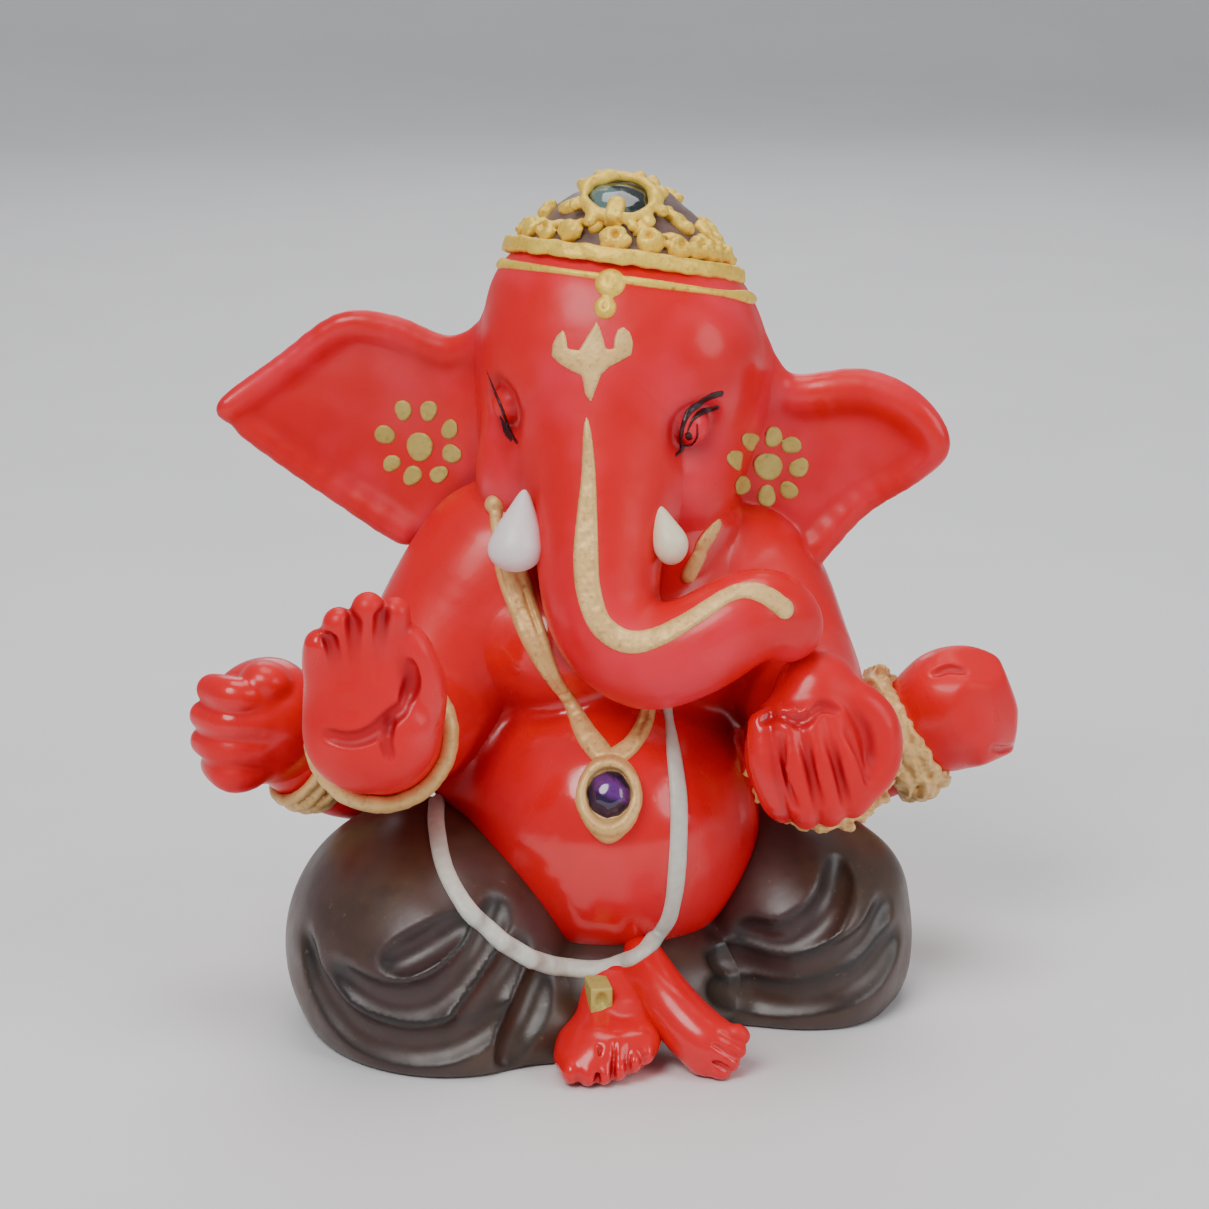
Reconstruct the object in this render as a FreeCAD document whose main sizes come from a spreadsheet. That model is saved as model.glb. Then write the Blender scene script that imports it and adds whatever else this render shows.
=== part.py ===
import FreeCAD, Part

# A hand-built seated elephant-headed figure: about 90 mm wide, 58 mm deep and 88 mm high.
#
# The figure is put together from separately shaped pieces, as a modeller builds it: a seat and two
# draped legs, a round torso, four arms with their hands, a head with a trunk, ears and tusks, and
# the applied ornaments. Millimetres, +Z up, the front towards -Y, and the origin at the middle of
# the footprint. "right" and "left" are the figure's own sides, so right is -X.
#
# Pieces of the head are shaped in the head's frame, which leans and turns, and are then placed.

import math
import os

from FreeCAD import Placement, Rotation, Vector

SHEET = "Sizes"

# Driving dimensions that are one number each.
SIZES = {
    # the head's frame: where its middle is, and how it turns and leans
    "head_x": 0.2, "head_y": 5.0, "head_z": 62.0, "head_turn": -18.0, "head_lean": 6.5,
    # ears: cupped leaves of this thickness, cut from a hollow ball
    "ear_thickness": 2.4, "ear_cup_radius": 30.0, "ear_cup_depth": 5.2,
    "rosette_dot": 1.05, "rosette_middle": 1.5, "rosette_ring": 3.3, "dot_height": 0.55,
    # crown: a dome that leans back, with a band and lobes round its foot
    "crown_y": 1.0, "crown_z": 12.6, "crown_tilt": 15.0, "crown_radius": 13.1, "crown_height": 11.2,
    "band_height": 2.2, "band_thickness": 1.1, "lobe_radius": 1.35, "lobe_lift": 2.6,
    "medal_radius": 4.4, "medal_rim": 0.9, "medal_thickness": 1.5, "medal_slope": 52.0,
    "stone_radius": 3.3, "stone_height": 1.0, "keystone_width": 2.2, "keystone_height": 3.4,
    "cord_radius": 0.5, "cord_drop": 1.9, "drop_radius": 1.25,
    # mark on the forehead
    "mark_width": 8.6, "mark_height": 8.4, "mark_z": 3.2, "mark_relief": 0.45,
    # eyes
    "eye_long": 2.7, "eye_short": 1.15, "eye_relief": 0.7,
    # bangles
    "bangle_radius": 6.5, "bangle_wire": 0.95, "cuff_radius": 5.75, "cuff_wire": 1.0, "cuff_pitch": 1.7,
    # pendant, its stone and the small clasp between the feet
    "pendant_width": 6.8, "pendant_height": 9.0, "pendant_thickness": 2.2, "pendant_stone": 2.15,
    "pocket_depth": 1.0, "clasp_width": 2.6, "clasp_height": 3.0, "clasp_depth": 2.4,
    "strap_radius": 1.45, "thread_radius": 0.9, "stripe_radius": 0.85,
    # pegs that key the loose pieces together
    "peg_radius": 1.6, "peg_play": 0.08,
}

# Round masses, each an ellipsoid: middle x, y, z and half sizes along x, y, z.
MASSES = {
    "belly": (-2.7, -1.0, 19.6, 16.2, 17.6, 16.2),
    "chest": (-0.8, 3.6, 38.0, 18.0, 12.2, 14.6),
    "hips": (-1.5, 8.5, 10.0, 24.0, 20.3, 12.5),
    "lap": (-2.4, -8.0, 4.6, 15.0, 11.6, 7.0),
}

# Stacks of flat ovals up a form's height: z, middle x and y, half width and half depth.
STACKS = {
    "head_skin": [(-15.0, 0.0, -1.0, 3.0, 2.6), (-13.4, 0.0, -1.4, 7.2, 6.6), (-9.6, 0.0, -1.8, 10.6, 9.8),
                  (-4.6, 0.0, -1.4, 12.8, 12.2), (0.4, 0.0, -0.6, 14.2, 13.8), (5.4, 0.0, 0.0, 15.0, 14.4),
                  (10.2, 0.0, 0.2, 14.4, 14.2), (14.4, -0.6, 0.4, 12.9, 13.2), (18.2, -1.2, 0.8, 10.6, 11.0),
                  (20.8, -1.6, 1.2, 7.0, 7.4), (22.0, -1.6, 1.4, 2.6, 2.8)],
    "right_leg": [(0.0, -22.0, -4.6, 12.4, 17.2), (3.2, -22.0, -4.6, 13.9, 18.9), (7.4, -21.6, -4.4, 14.8, 19.8),
                  (11.4, -21.4, -4.0, 14.4, 19.0), (15.4, -21.2, -3.2, 12.6, 16.4), (18.8, -21.2, -2.4, 9.4, 12.2),
                  (21.2, -21.2, -2.0, 5.2, 6.8), (22.3, -21.2, -2.0, 1.6, 2.0)],
    "left_leg": [(0.0, 18.2, -1.8, 11.6, 15.4), (3.0, 18.2, -1.8, 12.7, 16.8), (6.4, 18.0, -1.6, 13.1, 17.4),
                 (10.0, 17.8, -1.2, 12.4, 16.4), (13.6, 17.6, -0.6, 10.4, 13.8), (16.8, 17.4, 0.0, 7.4, 9.8),
                 (18.9, 17.4, 0.2, 4.0, 5.4), (19.7, 17.4, 0.2, 1.2, 1.6)],
}

# Arms, each two long round forms, shoulder to elbow and elbow to wrist: start, end and radius.
ARMS = {
    "right_front_arm": [((-13.0, 3.5, 44.0), (-21.5, 0.0, 32.5), 8.0),
                        ((-22.5, -1.0, 31.5), (-26.6, -9.0, 32.5), 6.3)],
    "left_front_arm": [((12.0, 3.5, 42.0), (18.8, -1.0, 34.0), 7.9),
                       ((19.2, -1.6, 32.8), (16.9, -8.4, 32.4), 6.2)],
    "right_rear_arm": [((-11.0, 9.0, 38.0), (-23.6, 10.6, 24.4), 6.2),
                       ((-24.6, 10.7, 22.9), (-31.0, 8.5, 24.9), 5.0)],
    "left_rear_arm": [((11.0, 9.0, 36.0), (22.2, 11.1, 22.0), 6.2),
                      ((22.8, 11.1, 20.9), (28.6, 9.4, 22.2), 5.2)],
}

# Limbs of the head, each a skin through round sections: x, y, z and radius, in the head's frame.
HEAD_LIMBS = {
    "trunk_skin": [(0.0, -6.0, 3.5, 8.4), (0.3, -9.8, -3.0, 8.0), (1.1, -13.4, -9.5, 6.9),
                   (2.1, -16.6, -15.0, 5.8), (4.7, -19.4, -19.6, 5.0), (9.7, -20.6, -20.6, 4.6),
                   (14.7, -20.2, -17.2, 4.3), (18.6, -18.8, -14.2, 3.9), (22.0, -17.0, -14.2, 3.4)],
    "right_tusk_skin": [(-6.2, -12.6, -4.8, 0.5), (-6.2, -14.4, -8.0, 1.5), (-6.1, -15.9, -10.9, 2.6)],
    "left_tusk_skin": [(8.6, -12.0, -3.6, 0.4), (8.9, -13.4, -6.4, 0.9), (9.4, -14.4, -8.6, 1.6)],
}

# Ear outlines in the head's frame, x and z, round from the top of the root, and the cup's middle.
EARS = {
    "right_ear": ([(-12.0, 5.6), (-19.4, 3.2), (-25.5, 5.0), (-30.5, 4.0), (-36.5, -2.2), (-41.4, -5.6),
                   (-38.0, -10.2), (-30.5, -14.4), (-20.0, -18.6), (-10.0, -14.0)], (-26.5, -6.0)),
    "left_ear": ([(12.0, 7.4), (17.8, 4.9), (24.5, 6.6), (31.0, 5.4), (35.2, 0.4), (31.6, -3.6),
                  (26.2, -8.4), (21.0, -15.2), (9.0, -12.6)], (23.0, -3.5)),
}
ROSETTES = {"right_ear": (-19.4, -7.6, 8), "left_ear": (17.4, -4.8, 8)}

# Hands: the palm's middle, half sizes and lean, then each finger's root, tip and radius.
HANDS = {
    "right_front_hand": {
        "palm": ((-29.0, -19.0, 36.4), (6.7, 3.7, 7.4)),
        "fingers": [((-33.2, -19.4, 39.0), (-34.2, -20.6, 44.0), 1.9),
                    ((-31.0, -19.6, 40.5), (-31.9, -20.8, 46.6), 1.95),
                    ((-28.4, -19.6, 41.0), (-29.2, -20.9, 47.9), 1.95),
                    ((-25.8, -19.3, 40.0), (-26.6, -20.6, 46.9), 1.9),
                    ((-23.6, -19.6, 34.5), (-23.6, -21.3, 42.0), 1.8)],
    },
    "left_front_hand": {
        "palm": ((15.4, -17.4, 33.6), (6.4, 5.0, 5.2)),
        "fingers": [((10.6, -20.4, 32.4), (11.2, -21.2, 25.6), 2.0),
                    ((13.6, -21.4, 33.0), (14.0, -22.2, 25.0), 2.05),
                    ((16.6, -21.3, 33.0), (17.0, -21.9, 25.4), 2.05),
                    ((19.4, -20.4, 32.6), (19.4, -20.8, 26.8), 2.0),
                    ((20.6, -18.6, 34.0), (21.4, -21.2, 29.8), 2.2)],
    },
    "right_rear_fist": {
        "palm": ((-38.4, 5.4, 29.6), (5.3, 5.4, 6.9)),
        "fingers": [((-42.4, 3.8, 33.8), (-38.6, 0.4, 33.4), 1.8),
                    ((-43.06, 3.4, 30.9), (-38.9, -0.2, 30.5), 1.8),
                    ((-42.7, 3.4, 28.0), (-39.1, 0.1, 27.7), 1.75),
                    ((-42.0, 3.8, 25.3), (-39.0, 0.9, 25.1), 1.65),
                    ((-39.2, 3.4, 35.0), (-36.2, 1.0, 34.2), 1.9)],
    },
    "left_rear_fist": {
        "palm": ((37.6, 6.6, 26.2), (6.7, 5.6, 7.0)),
        "fingers": [((42.2, 4.6, 30.6), (38.6, 1.8, 31.0), 1.9),
                    ((43.0, 4.6, 27.6), (40.0, 1.2, 27.8), 1.9),
                    ((43.0, 4.8, 24.6), (40.2, 1.6, 24.6), 1.85),
                    ((42.2, 5.2, 21.9), (39.4, 2.4, 21.8), 1.7),
                    ((37.0, 4.2, 32.4), (33.8, 2.8, 31.4), 1.9)],
    },
}
# Feet, built like hands: the sole's middle and half sizes, then each toe.
FEET = {
    "right_foot": {
        "palm": ((-0.2, -22.8, 7.0), (4.0, 5.0, 6.9)),
        "fingers": [((0.6, -25.0, 4.2), (1.4, -27.2, 1.6), 1.45), ((2.4, -25.2, 4.6), (3.4, -27.4, 1.8), 1.3),
                    ((3.6, -25.0, 5.2), (4.9, -27.1, 2.3), 1.2), ((4.4, -24.4, 6.0), (6.1, -26.4, 3.0), 1.15)],
    },
    "left_foot": {
        "palm": ((-7.0, -23.2, 3.6), (5.2, 4.6, 3.9)),
        "fingers": [((-9.6, -25.2, 3.0), (-10.4, -26.8, 1.7), 1.6), ((-7.6, -25.8, 2.9), (-7.8, -27.6, 1.5), 1.4),
                    ((-5.6, -25.8, 2.9), (-5.4, -27.5, 1.5), 1.3), ((-3.8, -25.4, 3.0), (-3.4, -27.0, 1.6), 1.2)],
    },
}

# Applied strips in front of the figure, each at least as far forward as the masses behind it.
STRAP = [(-14.2, -4.5, 50.4), (-13.4, -7.0, 46.6), (-11.6, -8.6, 42.4), (-9.6, -9.6, 38.4), (-7.8, -10.0, 35.2),
         (-6.2, -12.0, 32.8)]
SHORT_STRAP = [(-0.6, -9.0, 36.2), (-2.2, -10.4, 34.2), (-4.2, -12.0, 32.6)]
SHOULDER_STRAP = [(7.4, -3.4, 50.4), (5.9, -5.4, 48.2), (4.6, -7.0, 46.0)]
THREAD = [(-22.4, -12.0, 24.8), (-22.8, -15.6, 21.0), (-21.4, -18.8, 17.4), (-18.2, -20.6, 13.8),
          (-13.6, -19.6, 10.8), (-8.4, -18.0, 9.3), (-3.8, -17.4, 9.8), (-0.6, -17.8, 12.8),
          (1.0, -18.0, 18.0), (1.4, -17.0, 24.0), (1.0, -14.0, 30.0), (0.3, -11.0, 35.6)]
PENDANT = (-5.6, 27.6)
CLASP = (-6.7, 6.4)

CAP = [(0.55, 0.835), (0.86, 0.51), (0.99, 0.14)]  # a round tip: steps along and share of the radius


def fill_sheet(doc):
    """Every driving number in its own named cell, one row each."""
    sheet = doc.addObject("Spreadsheet::Sheet", SHEET)
    cells = dict(SIZES)
    for name, numbers in MASSES.items():
        for key, number in zip(("x", "y", "z", "rx", "ry", "rz"), numbers):
            cells[f"{name}_{key}"] = number
    for name, rows in HEAD_LIMBS.items():
        for i, row in enumerate(rows):
            for key, number in zip("xyzr", row):
                cells[f"{name}_{i}_{key}"] = number
    for name, rows in STACKS.items():
        for i, row in enumerate(rows):
            for key, number in zip(("z", "x", "y", "rx", "ry"), row):
                cells[f"{name}_{i}_{key}"] = number
    for name, forms in ARMS.items():
        for i, (_, _, radius) in enumerate(forms):
            cells[f"{name}_form_{i}"] = radius
    for name, hand in {**HANDS, **FEET}.items():
        middle, half = hand["palm"]
        for key, number in zip(("x", "y", "z", "rx", "ry", "rz"), (*middle, *half)):
            cells[f"{name}_{key}"] = number
        for i, (_, _, radius) in enumerate(hand["fingers"]):
            cells[f"{name}_digit_{i}"] = radius
    for row, (alias, number) in enumerate(cells.items(), start=1):
        sheet.set(f"A{row}", alias)
        sheet.set(f"B{row}", str(number))
        sheet.setAlias(f"B{row}", alias)
    doc.recompute()
    return sheet


doc = FreeCAD.newDocument("figure")
sizes = fill_sheet(doc)


def cell(alias):
    return f"{SHEET}.{alias}"


def turned(direction):
    """The rotation that takes +Z to this direction."""
    return Rotation(Vector(0, 0, 1), Vector(direction).normalize())


def ring_turns(directions):
    """A rotation for each direction, carried along the line so that the rings do not twist."""
    turns = []
    across = Vector(1, 0, 0)
    if abs(Vector(directions[0]).normalize().x) > 0.9:
        across = Vector(0, 0, 1)
    for direction in directions:
        onward = Vector(direction).normalize()
        across = (across - onward * across.dot(onward)).normalize()
        turns.append(Rotation(across, Vector(), onward, "ZXY"))
    return turns


def bind(obj, **expressions):
    """Ties an object's properties to the sheet; a double underscore stands for a dot."""
    for name, expression in expressions.items():
        obj.setExpression(name.replace("__", "."), expression)
    return obj


def bind_place(obj, prefix, shift=Vector()):
    """Ties a place to the cells PREFIX_x, _y and _z, plus a shift in shares of PREFIX_r."""
    for key in "xyz":
        step = getattr(shift, key)
        extra = f" + {step:.6f} * {cell(prefix + '_r')}" if abs(step) > 1e-9 else ""
        obj.setExpression(f"Placement.Base.{key}", cell(f"{prefix}_{key}") + extra)
    return obj


def ellipsoid(name, prefix):
    """A mass whose middle and half sizes are the cells PREFIX_x to PREFIX_rz."""
    solid = doc.addObject("Part::Ellipsoid", name)
    solid.Angle1, solid.Angle2, solid.Angle3 = -90, 90, 360
    bind(solid, Radius1=cell(f"{prefix}_rz"), Radius2=cell(f"{prefix}_rx"), Radius3=cell(f"{prefix}_ry"))
    return bind_place(solid, prefix)


def limb(name, prefix, rows):
    """A skin through round sections across a bent line, with a rounded far tip."""
    points = [Vector(*row[:3]) for row in rows]
    last = len(points) - 1
    onward = (points[-1] - points[-2]).normalize()
    facings = []
    for i in range(len(points)):
        facings.append(points[min(i + 1, last)] - points[max(i - 1, 0)])
    facings += [onward] * len(CAP)
    sections = []
    for i, turn in enumerate(ring_turns(facings)):
        ring = doc.addObject("Part::Circle", f"{name}_ring_{i}")
        ring.Placement.Rotation = turn
        if i <= last:
            bind(ring, Radius=cell(f"{prefix}_{i}_r"))
            bind_place(ring, f"{prefix}_{i}")
        else:
            along, share = CAP[i - last - 1]
            bind(ring, Radius=f"{cell(f'{prefix}_{last}_r')} * {share}")
            bind_place(ring, f"{prefix}_{last}", onward * along)
        sections.append(ring)
    skin = doc.addObject("Part::Loft", name)
    skin.Sections, skin.Solid, skin.Ruled = sections, True, False
    return skin


def fuse(name, pieces):
    whole = doc.addObject("Part::MultiFuse", name)
    whole.Shapes = pieces
    whole.Refine = False
    return whole


def cut(name, base, *tools):
    """base less each of tools in turn; the last cut has the name."""
    for i, tool in enumerate(tools):
        last = i == len(tools) - 1
        less = doc.addObject("Part::Cut", name if last else f"{name}_less_{i}")
        less.Base, less.Tool, less.Refine = base, tool, False
        base = less
    return base


def common(name, base, tool):
    both = doc.addObject("Part::Common", name)
    both.Base, both.Tool, both.Refine = base, tool, False
    return both




def stack(name, prefix, grow=""):
    """A skin through flat ovals up a form, each bound to its cells, plus what grow names."""
    sections = []
    more = f" + {cell(grow)}" if grow else ""
    for i, (height, x, y, wide, deep) in enumerate(STACKS[prefix]):
        oval = doc.addObject("Part::Ellipse", f"{name}_oval_{i}")
        along_y = deep > wide
        turn = Rotation(Vector(0, 0, 1), 90 if along_y else 0)
        oval.Placement = Placement(Vector(x, y, height), turn)
        major, minor = ("ry", "rx") if along_y else ("rx", "ry")
        # the long radius is set before the short one, which may not pass it
        oval.MajorRadius, oval.MinorRadius = max(wide, deep) + 2, min(wide, deep)
        bind(oval, MajorRadius=cell(f"{prefix}_{i}_{major}") + more)
        bind(oval, MinorRadius=cell(f"{prefix}_{i}_{minor}") + more)
        bind_place(oval, f"{prefix}_{i}")
        sections.append(oval)
    skin = doc.addObject("Part::Loft", name)
    skin.Sections, skin.Solid, skin.Ruled = sections, True, False
    return skin


HEAD_PLACE = (
    "placement(vector(Sizes.head_x; Sizes.head_y; Sizes.head_z);"
    " rotation(vector(0; 0; 1); Sizes.head_turn) * rotation(vector(0; 1; 0); Sizes.head_lean))"
)


def in_head(obj):
    """Moves a piece shaped in the head's frame to its place on the figure."""
    return bind(obj, Placement=HEAD_PLACE)


def outline(name, points, smooth):
    """A closed outline in x and z, drawn as one smooth curve or as straight lines."""
    sketch = doc.addObject("Sketcher::SketchObject", name)
    # the sketch lies in the x-z plane: its second axis is world z and it faces -y
    sketch.Placement = Placement(Vector(), Rotation(Vector(1, 0, 0), 90))
    corners = [Vector(x, z, 0) for x, z in points]
    if smooth:
        curve = Part.BSplineCurve()
        curve.interpolate(Points=corners, PeriodicFlag=True)
        sketch.addGeometry(curve)
        return sketch
    for start, end in zip(corners, corners[1:] + corners[:1]):
        sketch.addGeometry(Part.LineSegment(start, end))
    return sketch


def extrude(name, sketch, back, front):
    """The outline carried from y = back forward to y = front."""
    solid = doc.addObject("Part::Extrusion", name)
    solid.Base, solid.DirMode, solid.Dir = sketch, "Custom", Vector(0, -1, 0)
    solid.LengthFwd, solid.LengthRev, solid.Solid = -front, back, True
    return solid


def front_of(x, z, masses=("belly", "chest", "lap")):
    """How far forward the trunk of the body stands at x, z."""
    best = 5.0
    for mass in masses:
        mx, my, mz, rx, ry, rz = MASSES[mass]
        rest = 1 - ((x - mx) / rx) ** 2 - ((z - mz) / rz) ** 2
        if rest > 0:
            y = my - ry * math.sqrt(rest)
            best = min(best, y)
    return best


def head_front(x, z):
    """How far forward the head stands at x, z in its own frame."""
    rows = STACKS["head_skin"]
    for low, high in zip(rows, rows[1:]):
        if low[0] <= z <= high[0]:
            share = (z - low[0]) / (high[0] - low[0])
            _, mx, my, rx, ry = [a + (b - a) * share for a, b in zip(low, high)]
            return my - ry * math.sqrt(max(0.0, 1 - ((x - mx) / rx) ** 2))
    return 0.0


def bead(name, points, radius_cell, radius, taper=None):
    """A round bead of one width along points, with rounded ends."""
    points = [Vector(*point) for point in points]
    last = len(points) - 1
    first_way = (points[1] - points[0]).normalize()
    last_way = (points[-1] - points[-2]).normalize()
    stations = []
    for along, share in reversed(CAP):
        stations.append((points[0] - first_way * radius * along, first_way, share))
    for i, point in enumerate(points):
        stations.append((point, points[min(i + 1, last)] - points[max(i - 1, 0)], 1.0))
    for along, share in CAP:
        stations.append((points[-1] + last_way * radius * along, last_way, share))
    turns = ring_turns([facing for _, facing, _ in stations])
    sections = []
    for i, (at, _, share) in enumerate(stations):
        ring = doc.addObject("Part::Circle", f"{name}_ring_{i}")
        ring.Placement = Placement(at, turns[i])
        width = share * taper(i / (len(stations) - 1)) if taper else share
        bind(ring, Radius=f"{cell(radius_cell)} * {width:.4f}")
        sections.append(ring)
    skin = doc.addObject("Part::Loft", name)
    skin.Sections, skin.Solid, skin.Ruled = sections, True, False
    return skin


def digit(name, start, end, radius_cell, radius):
    """A finger, toe or length of arm: a straight round form with rounded ends."""
    middle = (Vector(*start) + Vector(*end)) * 0.5
    return bead(name, [start, middle, end], radius_cell, radius)


# an oval ball's sections: height as a share of its half height, and the share of its width there
BALL = [(-0.97, 0.24), (-0.75, 0.66), (-0.4, 0.92), (0.0, 1.0), (0.4, 0.92), (0.75, 0.66), (0.97, 0.24)]


def oval_ball(name, prefix, shape):
    """A palm or sole: an egg skinned through flat ovals, from the cells PREFIX_x to PREFIX_rz."""
    (x, y, z), (wide, deep, _) = shape["palm"]
    along_y = deep > wide
    major, minor = ("ry", "rx") if along_y else ("rx", "ry")
    sections = []
    for i, (rise, share) in enumerate(BALL):
        oval = doc.addObject("Part::Ellipse", f"{name}_oval_{i}")
        oval.Placement = Placement(Vector(x, y, z), Rotation(Vector(0, 0, 1), 90 if along_y else 0))
        oval.MajorRadius, oval.MinorRadius = max(wide, deep) + 2, min(wide, deep) * share
        bind(oval, MajorRadius=f"{cell(f'{prefix}_{major}')} * {share}")
        bind(oval, MinorRadius=f"{cell(f'{prefix}_{minor}')} * {share}")
        bind_place(oval, prefix)
        oval.setExpression("Placement.Base.z", f"{cell(f'{prefix}_z')} + {rise} * {cell(f'{prefix}_rz')}")
        sections.append(oval)
    skin = doc.addObject("Part::Loft", name)
    skin.Sections, skin.Solid, skin.Ruled = sections, True, False
    return skin


def peg(name, at, towards, length, play=False):
    """A round key from at, or the hole for it, which is a little wider."""
    at, towards = Vector(*at), Vector(*towards)
    bar = doc.addObject("Part::Cylinder", name)
    bar.Placement = Placement(at, turned(towards - at))
    extra = f" + {cell('peg_play')}" if play else ""
    bar.Height = length + (0.3 if play else 0.0)
    return bind(bar, Radius=cell("peg_radius") + extra)


# ---- the large masses -------------------------------------------------------------------------
belly_form = ellipsoid("belly_form", "belly")
chest_form = ellipsoid("chest_form", "chest")
body_form = fuse("body_form", [belly_form, chest_form])
NECK = (-1.6, 4.0, 48.0)
neck_key = peg("neck_key", NECK, (-1.6, 4.0, 60.0), 8.6)
neck_hole = peg("neck_hole", NECK, (-1.6, 4.0, 60.0), 8.6, play=True)
torso = fuse("torso_made", [body_form, neck_key])

right_leg_form = stack("right_leg_form", "right_leg")
left_leg_form = stack("left_leg_form", "left_leg")
right_leg = cut("right_leg_made", right_leg_form, body_form)
left_leg = cut("left_leg_made", left_leg_form, body_form, right_leg_form)
below = doc.addObject("Part::Box", "below_ground")
below.Length, below.Width, below.Height = 120, 120, 20
below.Placement.Base = Vector(-60, -60, -20)
hips_form = ellipsoid("hips_form", "hips")
lap_form = ellipsoid("lap_form", "lap")
seat_form = fuse("seat_form", [hips_form, lap_form])
seat = cut("seat_made", seat_form, below, body_form, right_leg_form, left_leg_form)

# ---- the head ---------------------------------------------------------------------------------
head_form = in_head(stack("head_form", "head_skin"))
trunk_form = in_head(limb("trunk_form", "trunk_skin", HEAD_LIMBS["trunk_skin"]))
tusks = {}
for side in ("right", "left"):
    key = f"{side}_tusk_skin"
    tusks[side] = in_head(limb(f"{side}_tusk_form", key, HEAD_LIMBS[key]))

# ---- the crown --------------------------------------------------------------------------------
CROWN_LEAN = Rotation(Vector(1, 0, 0), -SIZES["crown_tilt"])
CROWN_FOOT = Vector(-1.6, SIZES["crown_y"], SIZES["crown_z"])


def on_crown(at):
    """A point in the crown's own frame, taken into the head's frame."""
    return CROWN_FOOT + CROWN_LEAN.multVec(Vector(*at))


dome = doc.addObject("Part::Ellipsoid", "crown_dome")
dome.Angle1, dome.Angle2, dome.Angle3 = 0, 90, 360
dome.Placement = Placement(CROWN_FOOT, CROWN_LEAN)
bind(dome, Radius1=cell("crown_height"), Radius2=cell("crown_radius"), Radius3=cell("crown_radius"))
dome = in_head(cut("crown_dome_form", dome, below))


def crown_hoop(name, radius, wire, drop, sweep):
    """A round band about the crown's foot, lowered by drop, through sweep degrees of the front."""
    ring = doc.addObject("Part::Torus", f"{name}_ring")
    ring.Angle1, ring.Angle2, ring.Angle3 = -180, 180, sweep
    start = Rotation(Vector(0, 0, 1), -90 - sweep / 2)
    ring.Placement = Placement(on_crown((0, 0, -drop)), CROWN_LEAN * start)
    bind(ring, Radius1=radius, Radius2=wire)
    return in_head(cut(f"{name}_form", ring, below))


band = crown_hoop("crown_band", cell("crown_radius"), cell("band_thickness"), 0.0, 360)
cord = crown_hoop("brow_cord", f"{cell('crown_radius')} + 0.9", cell("cord_radius"), SIZES["cord_drop"], 150)

head = cut("head_made", head_form, body_form, neck_hole, tusks["right"], tusks["left"], band, cord)
trunk = cut("trunk_made", trunk_form, head_form, body_form, tusks["right"], tusks["left"])


def cup_middle(ear):
    """The middle of the ball that an ear's cup is cut from, in the head's frame."""
    x, z = EARS[ear][1]
    return Vector(x, SIZES["ear_cup_depth"] - SIZES["ear_cup_radius"], z)


def ear_form(ear):
    """A leaf of one thickness, cupped forwards: its outline cut from a hollow ball."""
    points, (x, z) = EARS[ear]
    leaf = extrude(f"{ear}_leaf", outline(f"{ear}_outline", points, smooth=True), 12, -16)
    balls = []
    for label, less in (("outer", ""), ("inner", f" - {cell('ear_thickness')}")):
        ball = doc.addObject("Part::Sphere", f"{ear}_{label}")
        ball.Placement.Base = Vector(x, 0, z)
        bind(ball, Radius=cell("ear_cup_radius") + less)
        ball.setExpression("Placement.Base.y", f"{cell('ear_cup_depth')} - {cell('ear_cup_radius')}")
        balls.append(ball)
    shell = cut(f"{ear}_shell", balls[0], balls[1])
    return in_head(common(f"{ear}_form", leaf, shell))


ears = {}
for name in EARS:
    ears[name] = ear_form(name)


def rosette(ear):
    """A ring of small paint dots round a larger one, each standing on the ear's inner face."""
    x, z, count = ROSETTES[ear]
    middle = cup_middle(ear)
    inner = SIZES["ear_cup_radius"] - SIZES["ear_thickness"]
    spots = [(x, z, "rosette_middle")]
    for i in range(count):
        angle = 2 * math.pi * i / count
        ring = SIZES["rosette_ring"]
        spots.append((x + ring * math.cos(angle), z + ring * math.sin(angle), "rosette_dot"))
    dots = []
    for i, (sx, sz, radius) in enumerate(spots):
        reach = math.sqrt(inner ** 2 - (sx - middle.x) ** 2 - (sz - middle.z) ** 2)
        at = Vector(sx, middle.y + reach, sz)
        dot = doc.addObject("Part::Ellipsoid", f"{ear}_dot_{i}")
        dot.Angle1, dot.Angle2, dot.Angle3 = -90, 90, 360
        dot.Placement = Placement(at, turned(middle - at))
        bind(dot, Radius1=cell("dot_height"), Radius2=cell(radius), Radius3=cell(radius))
        dots.append(dot)
    return cut(f"{ear}_rosette_made", in_head(fuse(f"{ear}_dots", dots)), ears[ear])


# ---- arms and hands ---------------------------------------------------------------------------
def hand_form(name, shape):
    """A palm or sole with its digits."""
    middle, _ = shape["palm"]
    pieces = [oval_ball(f"{name}_palm", name, shape)]
    for i, (start, end, radius) in enumerate(shape["fingers"]):
        pieces.append(digit(f"{name}_{i}", start, end, f"{name}_digit_{i}", radius))
    return fuse(f"{name}_form", pieces)


def arm_form(name):
    """An arm's two long forms."""
    forms = []
    for i, (start, end, radius) in enumerate(ARMS[name]):
        forms.append(digit(f"{name}_part_{i}", start, end, f"{name}_form_{i}", radius))
    return fuse(f"{name}_form", forms)


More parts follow.
